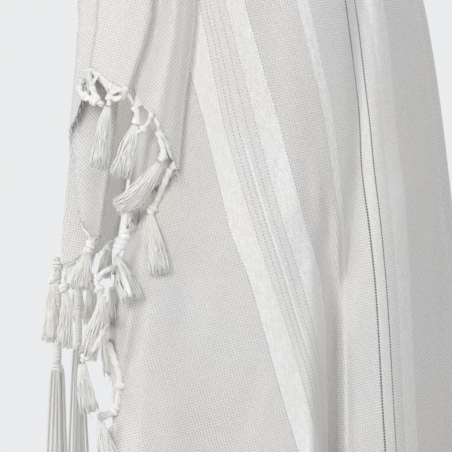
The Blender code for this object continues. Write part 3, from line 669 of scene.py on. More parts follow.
@dataclass(frozen=True)
class FoldLine:
    """A named line along which the fall is folded, with its height at the fringed edge; sizes are in mm."""

    name: str
    ys: tuple[float, ...]
    lifts: tuple[float, ...]
    bottom: float
    lean: float | None = None
    steps: int = 1
    turn: int = 0

    def at(self, heights: Sequence[float], z: np.ndarray) -> np.ndarray:
        """Distance behind the neck and lift of the line where it passes the heights z."""
        return np.stack((smooth(heights, self.ys, z), smooth(heights, self.lifts, z)), axis=-1) * MM


@dataclass
class FallCloth:
    """The fall over a shoulder, folded to and fro, from the neck edge out to the side panel."""

    body: BodyCloth
    thickness: float = 1.2 * MM
    heights: tuple[float, ...] = (0.050, 0.000, -0.160, -0.240, -0.330)
    lines: tuple[FoldLine, ...] = (
        FoldLine("inner_edge", (-50, -72, -76, -80, -88), (0, -1, -20, -28, -32), -346, lean=12.0),
        FoldLine("inner_mid", (-42, -61, -60, -66, -76), (0, 0, -19, -28, -31), -341, steps=2),
        FoldLine("inner_end", (-35, -52, -47, -53, -65), (0, 0, -18, -27, -31), -329, steps=4, turn=1),
        FoldLine("panel_start", (-35, -52, -47, -53, -65), (5, 6, -8, -17, -21), -323, lean=-38.0),
        FoldLine("panel_mid", (-43, -62, -58, -64, -75), (5, 7, -5, -12, -15), -314),
        FoldLine("panel_end", (-50, -71, -69, -75, -83), (5, 7, -6, -10, -14), -268, steps=4, turn=-1),
        FoldLine("roll_start", (-50, -71, -69, -75, -83), (10, 13, 4, 0, -4), -238, lean=30.0),
        FoldLine("roll_crease", (-46, -65, -61, -71, -80), (10, 12, 5, 3, 1), -214),
        FoldLine("pleat_a_left", (-44, -61, -59, -70, -79), (10, 14, 12, 10, 8), -206, lean=18.0),
        FoldLine("pleat_a_mid", (-37, -51, -43, -56, -64), (10, 15, 16.5, 15.5, 14), -216, steps=2),
        FoldLine("pleat_a_right", (-30, -40, -22.5, -42, -50), (10, 16, 17, 16, 13), -223),
        FoldLine("pleat_valley", (-27, -36, -21, -40, -48), (10, 12, 8.5, 7.5, 6), -220, lean=37.0),
        FoldLine("pleat_b_left", (-20, -27, -14, -29, -38), (10, 13, 10, 10, 8.5), -234, steps=2),
        FoldLine("pleat_b_mid", (-10, -14, -5, -17, -28), (10, 14, 15, 16, 15), -243, steps=2),
        FoldLine("pleat_b_right", (-1, -2, 3, -6, -15), (10, 13, 10, 10, 9), -264),
        FoldLine("pleat_b_end", (5, 6, 7, -1.5, -9), (9, 9, 5.5, 5.5, 5), -277, steps=4, turn=1),
        FoldLine("return_start", (5, 6, 7, -1.5, -9), (5, 5, 2.3, 2, 1.6), -282, lean=-30.0),
        FoldLine("return_mid", (-3, -5, -5, -12, -20), (5, 5, 3, 2.4, 0.6), -289),
        FoldLine("return_low", (-8, -13, -15, -20, -32), (5, 6, 5, 0, -6), -295),
    )
    tuck_heights: tuple[float, ...] = (5, 6, 6, 5.5, 5)
    tuck_bottom: float = -0.300
    tuck_steps: int = 4
    tuck_roundness: float = 0.8
    seam_gap: float = 0.35 * MM
    shoulder_end: float = -0.140
    top_rows: int = 36
    low_rows: int = 66
    fine: int = 4

    def bottoms(self) -> np.ndarray:
        """Height at which each coarse column meets the fringed edge."""
        ends = np.cumsum([0] + [line.steps for line in self.lines[:-1]] + [self.tuck_steps])
        heights = [line.bottom * MM for line in self.lines] + [self.tuck_bottom]
        return np.interp(np.arange(ends[-1] + 1), ends, heights)

    def section(self, z: np.ndarray) -> np.ndarray:
        """Distance behind the neck and lift of each coarse column at its own heights.

        Args:
            z: Heights, a column of them for each coarse column.

        Returns:
            The two values for each height and column.
        """
        found = [self.lines[0].at(self.heights, z[:, 0])]
        for line, following in zip(self.lines, self.lines[1:]):
            for step in range(1, line.steps + 1):
                here, after = (each.at(self.heights, z[:, len(found)]) for each in (line, following))
                angle = math.pi * step / line.steps
                share = (1 - math.cos(angle)) / 2 if line.turn else step / line.steps
                point = here + (after - here) * share
                point[:, 0] += line.turn * np.abs(after - here)[:, 1] / 2 * math.sin(angle)
                found.append(point)
        for step in range(1, self.tuck_steps + 1):
            found.append(self.tuck(z[:, len(found)], step / self.tuck_steps))
        return np.stack(found, axis=1)

    def tuck(self, z: np.ndarray, t: float) -> np.ndarray:
        """The last turn, from the return round to the side panel's edge, a share t of the way.

        Args:
            z: Heights.
            t: Share of the turn.

        Returns:
            Distance behind the neck and lift at each height.
        """
        edge, inside = (np.stack([smooth(self.body.heights, values, z) for values in row[1:]], axis=-1) * MM
                        for row in self.body.folds[:2])
        along = unit(inside - edge)
        height = smooth(self.heights, self.tuck_heights, z)[:, None] * MM
        start = edge + height * np.stack((-along[:, 1], along[:, 0]), axis=-1)
        end = edge - along * 2 * self.seam_gap
        handle = along * height * self.tuck_roundness
        return ((1 - t) ** 3 * start + 3 * t * (1 - t) ** 2 * (start - handle)
                + 3 * t * t * (1 - t) * (end - handle) + t ** 3 * end)

    def grid(self, side: Side) -> ClothGrid:
        """The fall of one side as a grid, whose columns run from the neck to the fringed edge.

        Args:
            side: The side of the wearer.

        Returns:
            The fall with its woven coordinates.
        """
        bottoms = self.bottoms()
        top = np.linspace(NECK_Z, self.shoulder_end, self.top_rows)[:-1, None]
        low = self.shoulder_end + (bottoms - self.shoulder_end) * np.linspace(0, 1, self.low_rows)[:, None]
        z = np.vstack((np.broadcast_to(top, (len(top), len(bottoms))), low))
        values = joined(np.concatenate((self.section(z), z[..., None]), axis=2), self.fine)
        points = side.place(FIGURE.side(*np.moveaxis(values, 2, 0)))
        drop = run_lengths(points.swapaxes(0, 1)).T
        lean = self.leans()
        run, fall = values[..., 0], np.tile(drop.mean(axis=1)[:, None], len(lean))
        fall[len(top):] = fall[len(top)] + self.shoulder_end - values[len(top):, :, 2]
        across = run * np.cos(lean) + fall * np.sin(lean)
        along = fall * np.cos(lean) - run * np.sin(lean)
        return ClothGrid(points, grid_normals(points, side.mirror), np.stack((across, along), 2),
                         np.stack(((drop[-1] - drop) * np.cos(lean), across), 2))

    def leans(self) -> np.ndarray:
        """Angle between the threads and the upright at each fine column, by the pleat it is in."""
        coarse: list[float] = []
        for line, count in zip(self.lines, [1] + [line.steps for line in self.lines[:-1]]):
            coarse += [coarse[-1] if line.lean is None else math.radians(line.lean)] * count
        coarse += coarse[-1:] * self.tuck_steps
        return np.repeat(coarse, self.fine)[:(len(coarse) - 1) * self.fine + 1]


@dataclass
class Yarn:
    """Gathers the threads of one piece as closed tubes."""

    verts: list[np.ndarray] = field(default_factory=list)
    faces: list[tuple[int, ...]] = field(default_factory=list)
    coords: list[tuple[float, float]] = field(default_factory=list)

    def add(self, paths: np.ndarray, radius: np.ndarray | float, sides: int = 6, flat: float = 1.0) -> None:
        """Add a tube along each path.

        Args:
            paths: Points along each thread, threads first.
            radius: Radius at each point, or one for all.
            sides: Sides of each tube.
            flat: Thickness of a tube towards the viewer, as a share of its width.
        """
        count, length = paths.shape[:2]
        radius = np.broadcast_to(radius, (count, length))
        ahead = unit(np.gradient(paths, axis=1))
        likeness = np.abs(ahead).max(axis=1) + AXIS_PREFERENCE
        wide = unit(np.cross(ahead, np.eye(3)[np.argmin(likeness, axis=1)][:, None, :]))
        thick = np.cross(ahead, wide)
        angle = 2 * math.pi * np.arange(sides) / sides
        ring = wide[:, :, None] * np.cos(angle)[:, None] + thick[:, :, None] * np.sin(angle)[:, None] * flat
        verts = paths[:, :, None] + ring * radius[:, :, None, None]
        start = sum(len(v) for v in self.verts)
        self.verts.append(verts.reshape(-1, 3))
        runs = run_lengths(paths)
        for n, run in enumerate(runs):
            first = start + n * length * sides
            for k in range(length - 1):
                low, high = first + k * sides, first + (k + 1) * sides
                for a in range(sides):
                    b = (a + 1) % sides
                    left, right = a / sides, (a + 1) / sides
                    self.faces.append((low + a, low + b, high + b, high + a))
                    self.coords += [(left, run[k]), (right, run[k]), (right, run[k + 1]), (left, run[k + 1])]
            for ring_start, place, order in ((first, 0, range(sides)[::-1]),
                                             (first + (length - 1) * sides, -1, range(sides))):
                self.faces.append(tuple(ring_start + a for a in order))
                self.coords += [(a / sides, run[place]) for a in order]

    def piece(self, name: str) -> bpy.types.Object:
        """Make one object of all threads, with the UV map Thread."""
        mesh = bpy.data.meshes.new(name)
        mesh.from_pydata(np.vstack(self.verts).tolist(), [], self.faces)
        layer = mesh.uv_layers.new(name="Thread")
        layer.data.foreach_set("uv", np.array(self.coords).ravel())
        mesh.shade_smooth()
        return linked(name, mesh)


def curve_through(points: np.ndarray, count: int) -> np.ndarray:
    """Evenly spaced points on a smooth curve through points.

    Args:
        points: The points that the curve goes through.
        count: How many points to give.

    Returns:
        The points on the curve.
    """
    dense = joined(np.asarray(points, float)[None], CURVE_STEPS)[0]
    run = run_lengths(dense)
    return read_along(dense, run, np.linspace(0.0, run[-1], count))


def resampled(line: np.ndarray, step: float = 0.4 * MM) -> np.ndarray:
    """Points a small step apart along a line.

    Args:
        line: Corners of the line.
        step: Distance between the points.

    Returns:
        The points.
    """
    run = run_lengths(line)
    return read_along(line, run, np.arange(0.0, run[-1], step))


@dataclass
class CordMaker:
    """Ways to make cords, knots, fans and brushes of loose threads; out is the way off the cloth."""

    out: np.ndarray
    rng: np.random.Generator
    yarn: Yarn = field(default_factory=Yarn)
    ply_radius: float = 1.25 * MM
    twist: float = 21.0 * MM
    spread: float = 0.8
    lumps: float = 0.13
    lump_length: float = 5.0 * MM
    longest_step: float = 1.9 * MM
    sides: int = 6
    thread_radius: float = 0.40 * MM
    fibre_radius: float = 0.075 * MM
    loop_reach: float = 1.9
    loop_rise: float = 1.5
    loop_tilt: float = 0.7
    loop_radius: float = 1.3
    core_reach: float = 2.6
    core_radius: float = 2.5
    fan_radii: tuple[float, float] = (0.44 * MM, 0.70 * MM)
    fan_bulge: float = 0.9 * MM
    brush_steps: int = 8
    shortest: float = 0.11
    stations: int = 40
    fluff_steps: int = 60

    def frame(self, path: np.ndarray) -> tuple[np.ndarray, np.ndarray]:
        """Directions across a path and away from the cloth, at each of its points."""
        ahead = unit(np.gradient(path, axis=0))
        across = unit(np.cross(ahead, self.out))
        return across, np.cross(across, ahead)

    def twisted(self, path: np.ndarray, plies: int = 2, size: float = 1.0) -> None:
        """Twist plies about a path.

        Args:
            path: Points that the cord follows.
            plies: How many plies it has.
            size: Size of the plies, as a share of the usual one.
        """
        length = run_lengths(path)[-1]
        dense = curve_through(path, max(8, int(length / min(self.twist / 5, self.longest_step))))
        across, away = self.frame(dense)
        turn = np.linspace(0.0, 2 * math.pi * length / self.twist, len(dense))[:, None]
        radius = self.ply_radius * size
        plied = [dense + (across * np.cos(turn + start) + away * np.sin(turn + start)) * radius * self.spread
                 for start in 2 * math.pi * np.arange(plies) / plies]
        phase = self.rng.uniform(0, 6.3, (plies, 1))
        place = np.linspace(0.0, length / self.lump_length, len(dense))[None, :]
        self.yarn.add(np.array(plied), radius * (1.0 + self.lumps * np.sin(phase + place * 2.3)), self.sides)

    def knot(self, path: np.ndarray, at: float, size: float = 1.0, turns: float = 1.6) -> None:
        """Tie a knot round a path.

        Args:
            path: Points that the cord follows.
            at: Share of the path at which the knot sits.
            size: Size of the knot, as a share of the usual one.
            turns: Turns that the cord takes round itself.
        """
        dense = curve_through(path, self.stations + 1)
        k = int(np.clip(round(at * self.stations), 1, self.stations - 1))
        ahead = unit(dense[k + 1] - dense[k - 1])
        across, away = (v[k] for v in self.frame(dense))
        turn = np.linspace(0.0, 2 * math.pi * turns, 18)[:, None] + self.rng.uniform(0, 6)
        rise = np.linspace(-self.loop_rise, self.loop_rise, 18)[:, None] + self.loop_tilt * np.sin(turn * 0.5)
        ring = (across * np.cos(turn) + away * np.sin(turn)) * self.loop_reach
        scale = MM * size
        self.yarn.add((dense[k] + (ahead * rise + ring) * scale)[None], self.loop_radius * scale, 6)
        core = dense[k] + ahead * np.linspace(-self.core_reach, self.core_reach, 7)[:, None] * scale
        swell = np.sin(np.linspace(0.15, math.pi - 0.15, 7)) * self.core_radius
        self.yarn.add(core[None], swell * scale, 8)

    def fan(self, edge: np.ndarray, target: np.ndarray, width: float) -> None:
        """Draw the threads of a stretch of edge together.

        Args:
            edge: Points along the edge, one for each thread.
            target: Point at which they close.
            width: Width of the bunch where it closes.
        """
        count = len(edge)
        along = unit(edge[-1] - edge[0])
        share = np.linspace(-1.0, 1.0, count)[:, None]
        close = target + along * share * width / 2 + self.rng.normal(0, 0.25, (count, 3)) * MM
        t = np.linspace(0.0, 1.0, 7)[None, :, None]
        paths = edge[:, None] * (1 - t) + close[:, None] * t
        square = np.cross(along, self.out)
        square *= math.copysign(1.0, square @ (target - edge.mean(axis=0)))
        reach = np.linalg.norm(close - edge, axis=1)[:, None, None]
        paths += (t - t * t * (3 - 2 * t)) * square * reach * 0.5
        paths += np.sin(math.pi * t) * self.out * self.fan_bulge
        self.yarn.add(paths, self.rng.uniform(*self.fan_radii, (count, 1)), 4)

    def brush(self, path: np.ndarray, widths: np.ndarray, threads: int, depth: float = 0.5,
              curl: float = 0.75 * MM) -> None:
        """Let a bunch of loose threads hang along a path.

        Args:
            path: Points of the middle of the bunch, from its knot.
            widths: Half widths of the bunch, evenly spaced from knot to tip.
            threads: How many threads it has.
            depth: Depth of the bunch, as a share of its width.
            curl: How far the threads wave.
        """
        share = np.linspace(0.0, 1.0, self.brush_steps)
        dense = curve_through(path, self.brush_steps)
        stations = np.linspace(0, 1, len(widths))
        angle = self.rng.uniform(0, 2 * math.pi, threads)[:, None]
        reach = np.sqrt(self.rng.uniform(0.05, 1.0, threads))[:, None]
        ends = 1.0 - self.rng.uniform(0.0, self.shortest, threads) * (0.6 + self.rng.uniform(0, 1, threads))
        at = ends[:, None] * share
        centre, wide, thick = (read_along(line, share, at) for line in (dense, *self.frame(dense)))
        size = np.interp(at, share, np.interp(share, stations, widths))
        phase, rate = self.rng.uniform(0, 6.3, (2, threads, 1)), self.rng.uniform(5.0, 13.0, (2, threads, 1))
        wave = np.sin(phase + rate * at) * curl * np.minimum(at * 2.0, 1.0)
        aside = np.cos(angle) * reach * size + wave[0]
        forward = np.sin(angle) * reach * size * depth + np.maximum(wave[1], -size * 0.1)
        thin = np.linspace(1.0, 0.75, self.brush_steps)[None, :]
        self.yarn.add(centre + wide * aside[..., None] + thick * forward[..., None],
                      self.rng.uniform(0.7, 1.6, (threads, 1)) * self.thread_radius * thin, 4)
        core = curve_through(path, 24)[:22]
        inner = np.interp(np.linspace(0, 0.91, 22), stations, widths) * 0.74
        self.yarn.add(core[None], inner * np.interp(np.linspace(0, 1, 22), (0, 0.9, 1), (1, 1, 0.6)), 12,
                      flat=depth * 0.85)

    def fluff(self, path: np.ndarray, count: int, reach: float) -> None:
        """Let fine stray fibres stand off a path.

        Args:
            path: Points along the middle of the cord or brush.
            count: How many fibres.
            reach: Length of the longest.
        """
        roots = curve_through(path, self.fluff_steps)[self.rng.integers(0, self.fluff_steps, count)][:, None]
        ways = unit(self.rng.normal(0, 1, (count, 3)) + (0.0, 0.0, -0.7))[:, None]
        bend = self.rng.normal(0, 1, (count, 3))[:, None]
        t = np.linspace(0.0, 1.0, 4)[None, :, None]
        length = self.rng.uniform(0.35, 1.0, (count, 1, 1)) * reach
        self.yarn.add(roots + ways * t * length + bend * t * t * length * 0.45, self.fibre_radius, 3)


@dataclass(frozen=True)
class Tassel:
    """A knotted lock of fringe; places are (column, row) squares of the close-up, sizes are in mm."""

    fan: tuple[tuple[float, float], tuple[float, float]] | None
    stem: tuple[tuple[float, float], ...]
    knots: tuple[float, ...]
    brush: tuple[tuple[float, float], ...]
    widths: tuple[float, ...]
    stand_off: float = 2.5
    threads: int = 80
    least_lift: float = -20.0


TASSELS = (
    Tassel(((77, 78), (86, 84)), ((78, 84), (80, 92), (87, 96.5), (95, 100.5), (104, 105)), (0.42, 0.72),
           (), (), 4.0, 0, 8.0),
    Tassel(((82, 76), (101, 70)), ((92, 86), (94, 93), (98, 99)), (), (), (), 4.0, 0, 10.0),
    Tassel(((87, 62), (124, 92)), ((110, 94), (110, 99), (109, 106)), (0.35,),
           ((108, 107), (105, 122), (102, 143), (98, 171)), (2.4, 5.2, 6.0, 6.8), 3.0, 94, 11.0),
    Tassel(((118, 95), (127, 90)), ((126, 87), (125, 96), (117, 99), (110, 97)), (), (), (), 3.0, 0, 11.0),
    Tassel(((124, 88), (141, 106)), ((134, 107), (138, 115), (136, 125)), (0.85,),
           ((136, 126), (131, 142), (126, 158), (120, 178)), (2.4, 5.6, 7.0, 7.6), 3.0, 100, 9.0),
    Tassel(((140, 110), (152, 114)), ((152, 113), (150, 121), (143, 130), (138, 133), (135, 128)), (0.62,),
           (), (), 3.0, 0, 9.0),
    Tassel(((153, 115), (176, 160)), ((158, 132), (163, 147), (164, 155), (161, 162)), (0.85,),
           ((160, 164), (149, 179), (133, 198), (116, 209)), (3.0, 6.0, 7.6, 6.8), 3.0, 108, 8.0),
    Tassel(((168, 163), (177, 168)), ((170, 169), (163, 187), (155, 204), (150, 213)), (0.92,),
           ((150, 215), (153, 232), (157, 252), (161, 275)), (2.2, 4.8, 6.2, 7.4), 2.5),
    Tassel(((124, 232), (130, 214)), ((128, 210), (125, 226), (126, 238), (121, 247), (116, 255)),
           (0.50, 0.80), ((116, 257), (121, 271), (127, 286), (133, 302)), (2.2, 5.2, 7.2, 8.0), 7.5, 96),
    Tassel(((78, 221), (97, 236)), ((90, 241), (89, 247), (86, 253)), (0.25, 0.85),
           ((86, 254), (84, 264), (81, 278), (79, 291)), (2.4, 5.6, 6.2, 6.6), 3.0, 92, -6.0),
    Tassel(None, ((88, 68), (89, 71)), (), ((88, 70), (90, 80), (94, 93)), (1.6, 3.0, 2.6), 1.0, 26, 8.0),
    Tassel(None, ((80, 78), (81, 81)), (), ((80, 80), (83, 88), (88, 96)), (1.6, 3.0, 2.6), 1.0, 26, 4.0),
    Tassel(None, ((131, 201), (132, 206)), (), ((131, 203), (133, 216), (134, 233)),
           (1.8, 3.4, 3.8), 1.5, 36),
    Tassel(None, ((111, 288), (112, 293)), (), ((111, 290), (111, 305), (110, 324)),
           (1.8, 3.2, 3.6), 1.5, 36),
    Tassel(((117, 258), (112, 276)), ((110, 268), (97, 278), (98, 287), (102, 294)), (0.45, 0.85),
           ((102, 296), (100, 312), (94, 333), (86, 360)), (2.4, 4.6, 6.4, 7.2), 3.0),
    Tassel(((109, 300), (107, 325)), ((104, 330), (96, 346), (86, 356), (82, 362)), (0.85,),
           ((82, 364), (83, 378), (86, 394), (90, 413)), (2.4, 4.6, 6.0, 6.8), 4.0),
    Tassel(((106, 340), (112, 356)), ((108, 344), (114, 360), (119, 376), (118, 398), (113, 413), (102, 417),
                                      (99, 421)), (0.52, 0.78, 0.95),
           ((100, 422), (103, 437), (108, 455), (112, 478)), (2.4, 5.2, 7.0, 7.6), 3.0),
    Tassel(((60, 268), (72, 262)), ((64, 272), (62, 282), (64, 292)), (0.8,),
           ((64, 293), (66, 310), (64, 330), (62, 350)), (1.8, 4.4, 5.6, 6.0), 3.0, 50),
    Tassel(((44, 262), (56, 266)), ((51, 272), (50, 284)), (0.7,),
           ((50, 286), (49, 305), (50, 325), (47, 345)), (1.8, 4.4, 5.6, 6.0), 3.0, 50),
)


@dataclass
class SurfaceRest:
    """Finds where something that hangs against the outside of one side's cloth comes to lie."""

    side: Side
    walls: Sequence[ClothGrid]
    edge: np.ndarray
    seen_from: float = 0.6
    least_reach: float = 0.12
    outer_pull: float = 0.15
    bare_lift: float = 2 * MM

    def __post_init__(self) -> None:
        """Build the search tree of the cloth."""
        verts, faces = [], []
        for grid in self.walls:
            rows, columns = grid.points.shape[:2]
            index = np.arange(rows * columns).reshape(rows, columns) + len(verts)
            corners = (index[:-1, :-1], index[1:, :-1], index[1:, 1:], index[:-1, 1:])
            faces += np.stack(corners, 2).reshape(-1, 4).tolist()
            verts += grid.points.reshape(-1, 3).tolist()
        self.tree = BVHTree.FromPolygons(verts, faces)

    def place(self, squares: Sequence[tuple[float, float]], stand_off: float, least: float,
              count: int) -> np.ndarray:
        """Lay a smooth path over the cloth.

        Args:
            squares: Squares of the close-up that it goes through.
            stand_off: Distance from the cloth in metres.
            least: Least height above the figure's form, where the cloth lies deeper.
            count: How many points to give.

        Returns:
            The points of the path.
        """
        flat = np.array([(0.0, CLOSE_UP.y(column), CLOSE_UP.z(row)) for column, row in squares])
        path = self.side.place(curve_through(flat, count)) * (self.side.mirror, 1.0, 1.0)
        reach = np.array([self.reach(y, z) for _, y, z in path])
        found = ~np.isnan(reach)
        if found.any():
            reach = np.interp(np.arange(count), np.flatnonzero(found), reach[found])
        else:
            reach = FIGURE.side(path[:, 1], self.bare_lift, path[:, 2])[:, 0]
        reach = np.maximum(reach, FIGURE.side(path[:, 1], least, path[:, 2])[:, 0])
        padded = np.pad(reach, 2, mode="edge")
        reach = np.max([padded[k:k + count] for k in range(5)], axis=0)
        for _ in range(3):
            padded = np.pad(reach, 1, mode="edge")
            reach = np.maximum(reach, (padded[:-2] + padded[1:-1] + padded[2:]) / 3)
        path[:, 0] = (reach + stand_off) * self.side.mirror
        return path

    def reach(self, y: float, z: float) -> float:
        """How far out the cloth lies at a place, or nan where there is none."""
        sign = self.side.mirror
        hit = self.tree.ray_cast(Vector((self.seen_from * sign, y, z)), Vector((-sign, 0.0, 0.0)))[0]
        return float(hit.x * sign) if hit is not None and hit.x * sign > self.least_reach else math.nan

    def on_edge(self, ends: tuple[tuple[float, float], tuple[float, float]], count: int) -> np.ndarray:
        """Points of the fringed edge nearest to a line between two squares.

        Args:
            ends: The two squares.
            count: How many points to give.

        Returns:
            The points on the edge.
        """
        found = []
        for column, row in np.linspace(*ends, count):
            _, y, z = self.side.place(np.array((0.0, CLOSE_UP.y(column), CLOSE_UP.z(row))))
            cost = np.hypot(self.edge[:, 1] - y, self.edge[:, 2] - z)
            cost -= self.outer_pull * self.edge[:, 0] * self.side.mirror
            found.append(self.edge[np.argmin(cost)])
        return np.array(found)


@dataclass
class Fringe:
    """The knotted fringe of one side of the shawl.

    Counts are of a fan's threads and of the stray fibres of a stem and of a brush; the last is a divisor that
    thins the brushes.
    """

    side: Side
    rest: SurfaceRest
    fall_edge: np.ndarray
    side_edge: np.ndarray
    first_hanging: int = 6
    last_hanging: int = 33
    pitch: float = 26.6 * MM
    lock_length: float = 64 * MM
    lanes: tuple[tuple[float, float], ...] = ((-9.0, 8.0), (-21.0, 0.0), (-9.0, -8.0))
    seed: int = 7
    near_counts: tuple[int, int, int, int] = (36, 16, 20, 1)
    far_counts: tuple[int, int, int, int] = (16, 6, 8, 2)
    brush_lift: float = 1.2 * MM
    fall_fraying: tuple[float, float] = (1.4 * MM, 2.0 * MM)
    side_fraying: float = 3.0 * MM
    edge_clearance: float = 4 * MM
    stem_gather: float = 2.6 * MM
    hanging_gather: float = 2.4 * MM
    hanging_widths: tuple[float, ...] = (1.8, 4.2, 4.8)
    hanging_threads: int = 12
    fluff_reach: tuple[float, float] = (5 * MM, 8 * MM)
    frayed_length: tuple[float, float] = (1.5 * MM, 4.5 * MM)
    frayed_root: float = 1.5 * MM
    frayed_radii: tuple[float, float] = (0.16 * MM, 0.30 * MM)

    def __post_init__(self) -> None:
        """Take the maker of its cords."""
        self.maker = CordMaker(np.array((self.side.mirror, 0.0, 0.0)), np.random.default_rng(self.seed))
        self.near = self.side is Side.NEAR

    def tassels(self) -> None:
        """Make the locks that lie against the cloth."""
        fan_threads, stem_fluff, brush_fluff, thinned = self.near_counts if self.near else self.far_counts
        for number, tassel in enumerate(TASSELS):
            stand_off, least = tassel.stand_off * MM, tassel.least_lift * MM
            stem = self.rest.place(tassel.stem, stand_off, least, 18)
            if tassel.fan is not None:
                edge = self.rest.on_edge(tassel.fan, fan_threads)
                self.maker.fan(edge, stem[0], self.stem_gather)
            self.maker.twisted(stem, plies=3, size=1.0 + 0.12 * math.sin(2.1 * number))
            for at in tassel.knots:
                self.maker.knot(stem, at, 1.25 + 0.15 * math.sin(3.7 * number + 9 * at))
            self.maker.fluff(stem, stem_fluff, self.fluff_reach[0])
            if tassel.brush:
                brush = self.rest.place(tassel.brush, stand_off + self.brush_lift, least, 14)
                self.maker.brush(brush, np.array(tassel.widths) * MM, tassel.threads // thinned)
                self.maker.fluff(brush, brush_fluff, self.fluff_reach[1])

    def hanging(self) -> None:
        """Make the locks that hang free beside the lower fringed edge."""
        run = run_lengths(self.side_edge)
        for number in range(self.first_hanging, self.last_hanging + 1):
            middle = self.pitch * (number + 0.5)
            if middle > run[-1] - self.edge_clearance:
                break
            edge = read_along(self.side_edge, run, middle + np.linspace(-9, 9, 7) * MM)
            lane_y, lane_x = self.lanes[number % len(self.lanes)]
            lane = np.array((self.side.mirror * lane_x, lane_y, 0.0)) * MM
            length = self.lock_length * (1.0 + 0.05 * math.sin(1.7 * number))
            top = edge[3] + np.array((0.0, -5 * MM, -5 * MM)) + lane * 0.4
            knot = edge[3] + lane + np.array((0.0, 0.0, -0.38 * length))
            tip = edge[3] + lane + np.array((0.0, -1.5 * MM * math.sin(2.4 * number), -length))
            bow = np.array((0.0, 1.8 * MM * math.sin(3.3 * number), 0.0))
            stem = curve_through(np.array((top, (top + knot) / 2 + lane * 0.15, knot)), 10)
            self.maker.fan(edge, top, self.hanging_gather)
            self.maker.twisted(stem)
            self.maker.knot(stem, 0.92)
            widths = np.array(self.hanging_widths) * MM
            path = np.array((knot, (knot + tip) / 2 + bow, tip))
            self.maker.brush(path, widths, self.hanging_threads, depth=0.6)
            self.maker.fluff(np.array((knot, tip)), 4, self.fluff_reach[1])

    def frayed(self, edge: np.ndarray, inner: np.ndarray, spacing: float) -> None:
        """Let short thread ends stand off a fringed edge.

        Args:
            edge: Points of the edge.
            inner: Points a little inside the edge.
            spacing: Distance between the thread ends.
        """
        rng = self.maker.rng
        run = run_lengths(edge)
        at = np.arange(0.0, run[-1], spacing)
        root = read_along(edge, run, at)
        off = unit(root - read_along(inner, run, at))
        off += rng.normal(0, 0.35, off.shape) + (0.0, 0.0, -0.35)
        bend = rng.normal(0, 0.5, off.shape) + (0.0, 0.0, -0.7)
        t = np.linspace(0.0, 1.0, 4)[None, :, None]
        length = rng.uniform(*self.frayed_length, (len(at), 1, 1))
        paths = root[:, None] + off[:, None] * (t * length - self.frayed_root)
        paths += bend[:, None] * t * t * length
        self.maker.yarn.add(paths, rng.uniform(*self.frayed_radii, (len(at), 1)), 3)

    def build(self, inner_fall: np.ndarray, inner_side: np.ndarray) -> bpy.types.Object:
        """Build the whole fringe of this side.

        Args:
            inner_fall: Points a little inside the fall's fringed edge.
            inner_side: Points a little inside the side panel's fringed edge.

        Returns:
            The fringe as one piece.
        """
        self.tassels()
        self.hanging()
        self.frayed(self.fall_edge, inner_fall, self.fall_fraying[0 if self.near else 1])
        self.frayed(self.side_edge, inner_side, self.side_fraying)
        return self.maker.yarn.piece(f"fringe_{self.side.label}")


@dataclass
class Tzitzit:
    """A corner tzitzit: double knots and windings, from which eight twisted strings hang."""

    name: str
    top: np.ndarray
    across: np.ndarray
    seed: int = 3
    string_length: float = 160 * MM
    head_length: float = 80.0
    knot_places: tuple[float, ...] = (7.0, 47.0, 81.0)
    windings: tuple[tuple[float, float, int], ...] = ((12.0, 42.0, 11), (52.0, 76.0, 9))
    fall: tuple[tuple[float, float], ...] = ((0.0, 0.6), (0.05, 1.2), (0.35, 1.75), (0.7, 2.4), (0.97, 2.7))

    def around(self, below: np.ndarray, turn: np.ndarray, wide: float, deep: float) -> np.ndarray:
        """A path round the head.

        Args:
            below: Distance below the top at each point, in mm.
            turn: Turn round the head at each point.
            wide: Half width of the path in mm.
            deep: Half depth of the path in mm.

        Returns:
            The path, as the only one of a bundle.
        """
        through = np.cross(self.across, UP)
        ring = self.across * (np.cos(turn) * wide)[:, None] + through * (np.sin(turn) * deep)[:, None]
        return (self.top + (ring - UP * below[:, None]) * MM)[None]

    def head(self, yarn: Yarn) -> None:
        """Make the core, its windings and its double knots."""
        core = self.top - UP * np.array((1, 4, 20, 45, 60, 80))[:, None] * MM
        radius = np.interp(np.arange(12), (0, 1, 11), (1.6, 2.7, 2.7)) * MM
        yarn.add(curve_through(core, 12)[None], radius, 10)
        for start, end, turns in self.windings:
            turn = np.linspace(0.0, 2 * math.pi * turns, turns * 14)
            yarn.add(self.around(np.linspace(start, end, len(turn)), turn, 2.6, 2.2), 0.85 * MM, 6)
        for below in self.knot_places:
            for twin in (-1.6, 1.6):
                turn = np.linspace(0.0, 2 * math.pi * 1.35, 26) + twin
                rise = np.linspace(-1.1, 1.1, 26) + twin + 0.6 * np.sin(turn)
                yarn.add(self.around(below + rise, turn, 3.2, 2.7), 1.15 * MM, 8)

    def build(self) -> bpy.types.Object:
        """Build the head and its strings as one piece."""
        through = np.cross(self.across, UP)
        maker = CordMaker(through, np.random.default_rng(self.seed), ply_radius=0.62 * MM, twist=4.2 * MM,
                          spread=1.1, lumps=0.0, sides=4)
        self.head(maker.yarn)
        foot = self.top - UP * self.head_length * MM
        for i in range(4):
            for j in range(2):
                length = self.string_length * (1.0 - 0.05 * ((i + 2 * j) % 4))
                at = (self.across * (i - 1.5) * 2.2 + through * (j - 0.5) * 3.4) * MM
                path = np.array([foot + at * spread - UP * share * length
                                 + through * 0.5 * MM * math.sin(5 * share + i + 3 * j)
                                 for share, spread in self.fall])
                maker.twisted(path)
                maker.knot(path, 0.975, 0.42, 1.2)
        return maker.yarn.piece(self.name)


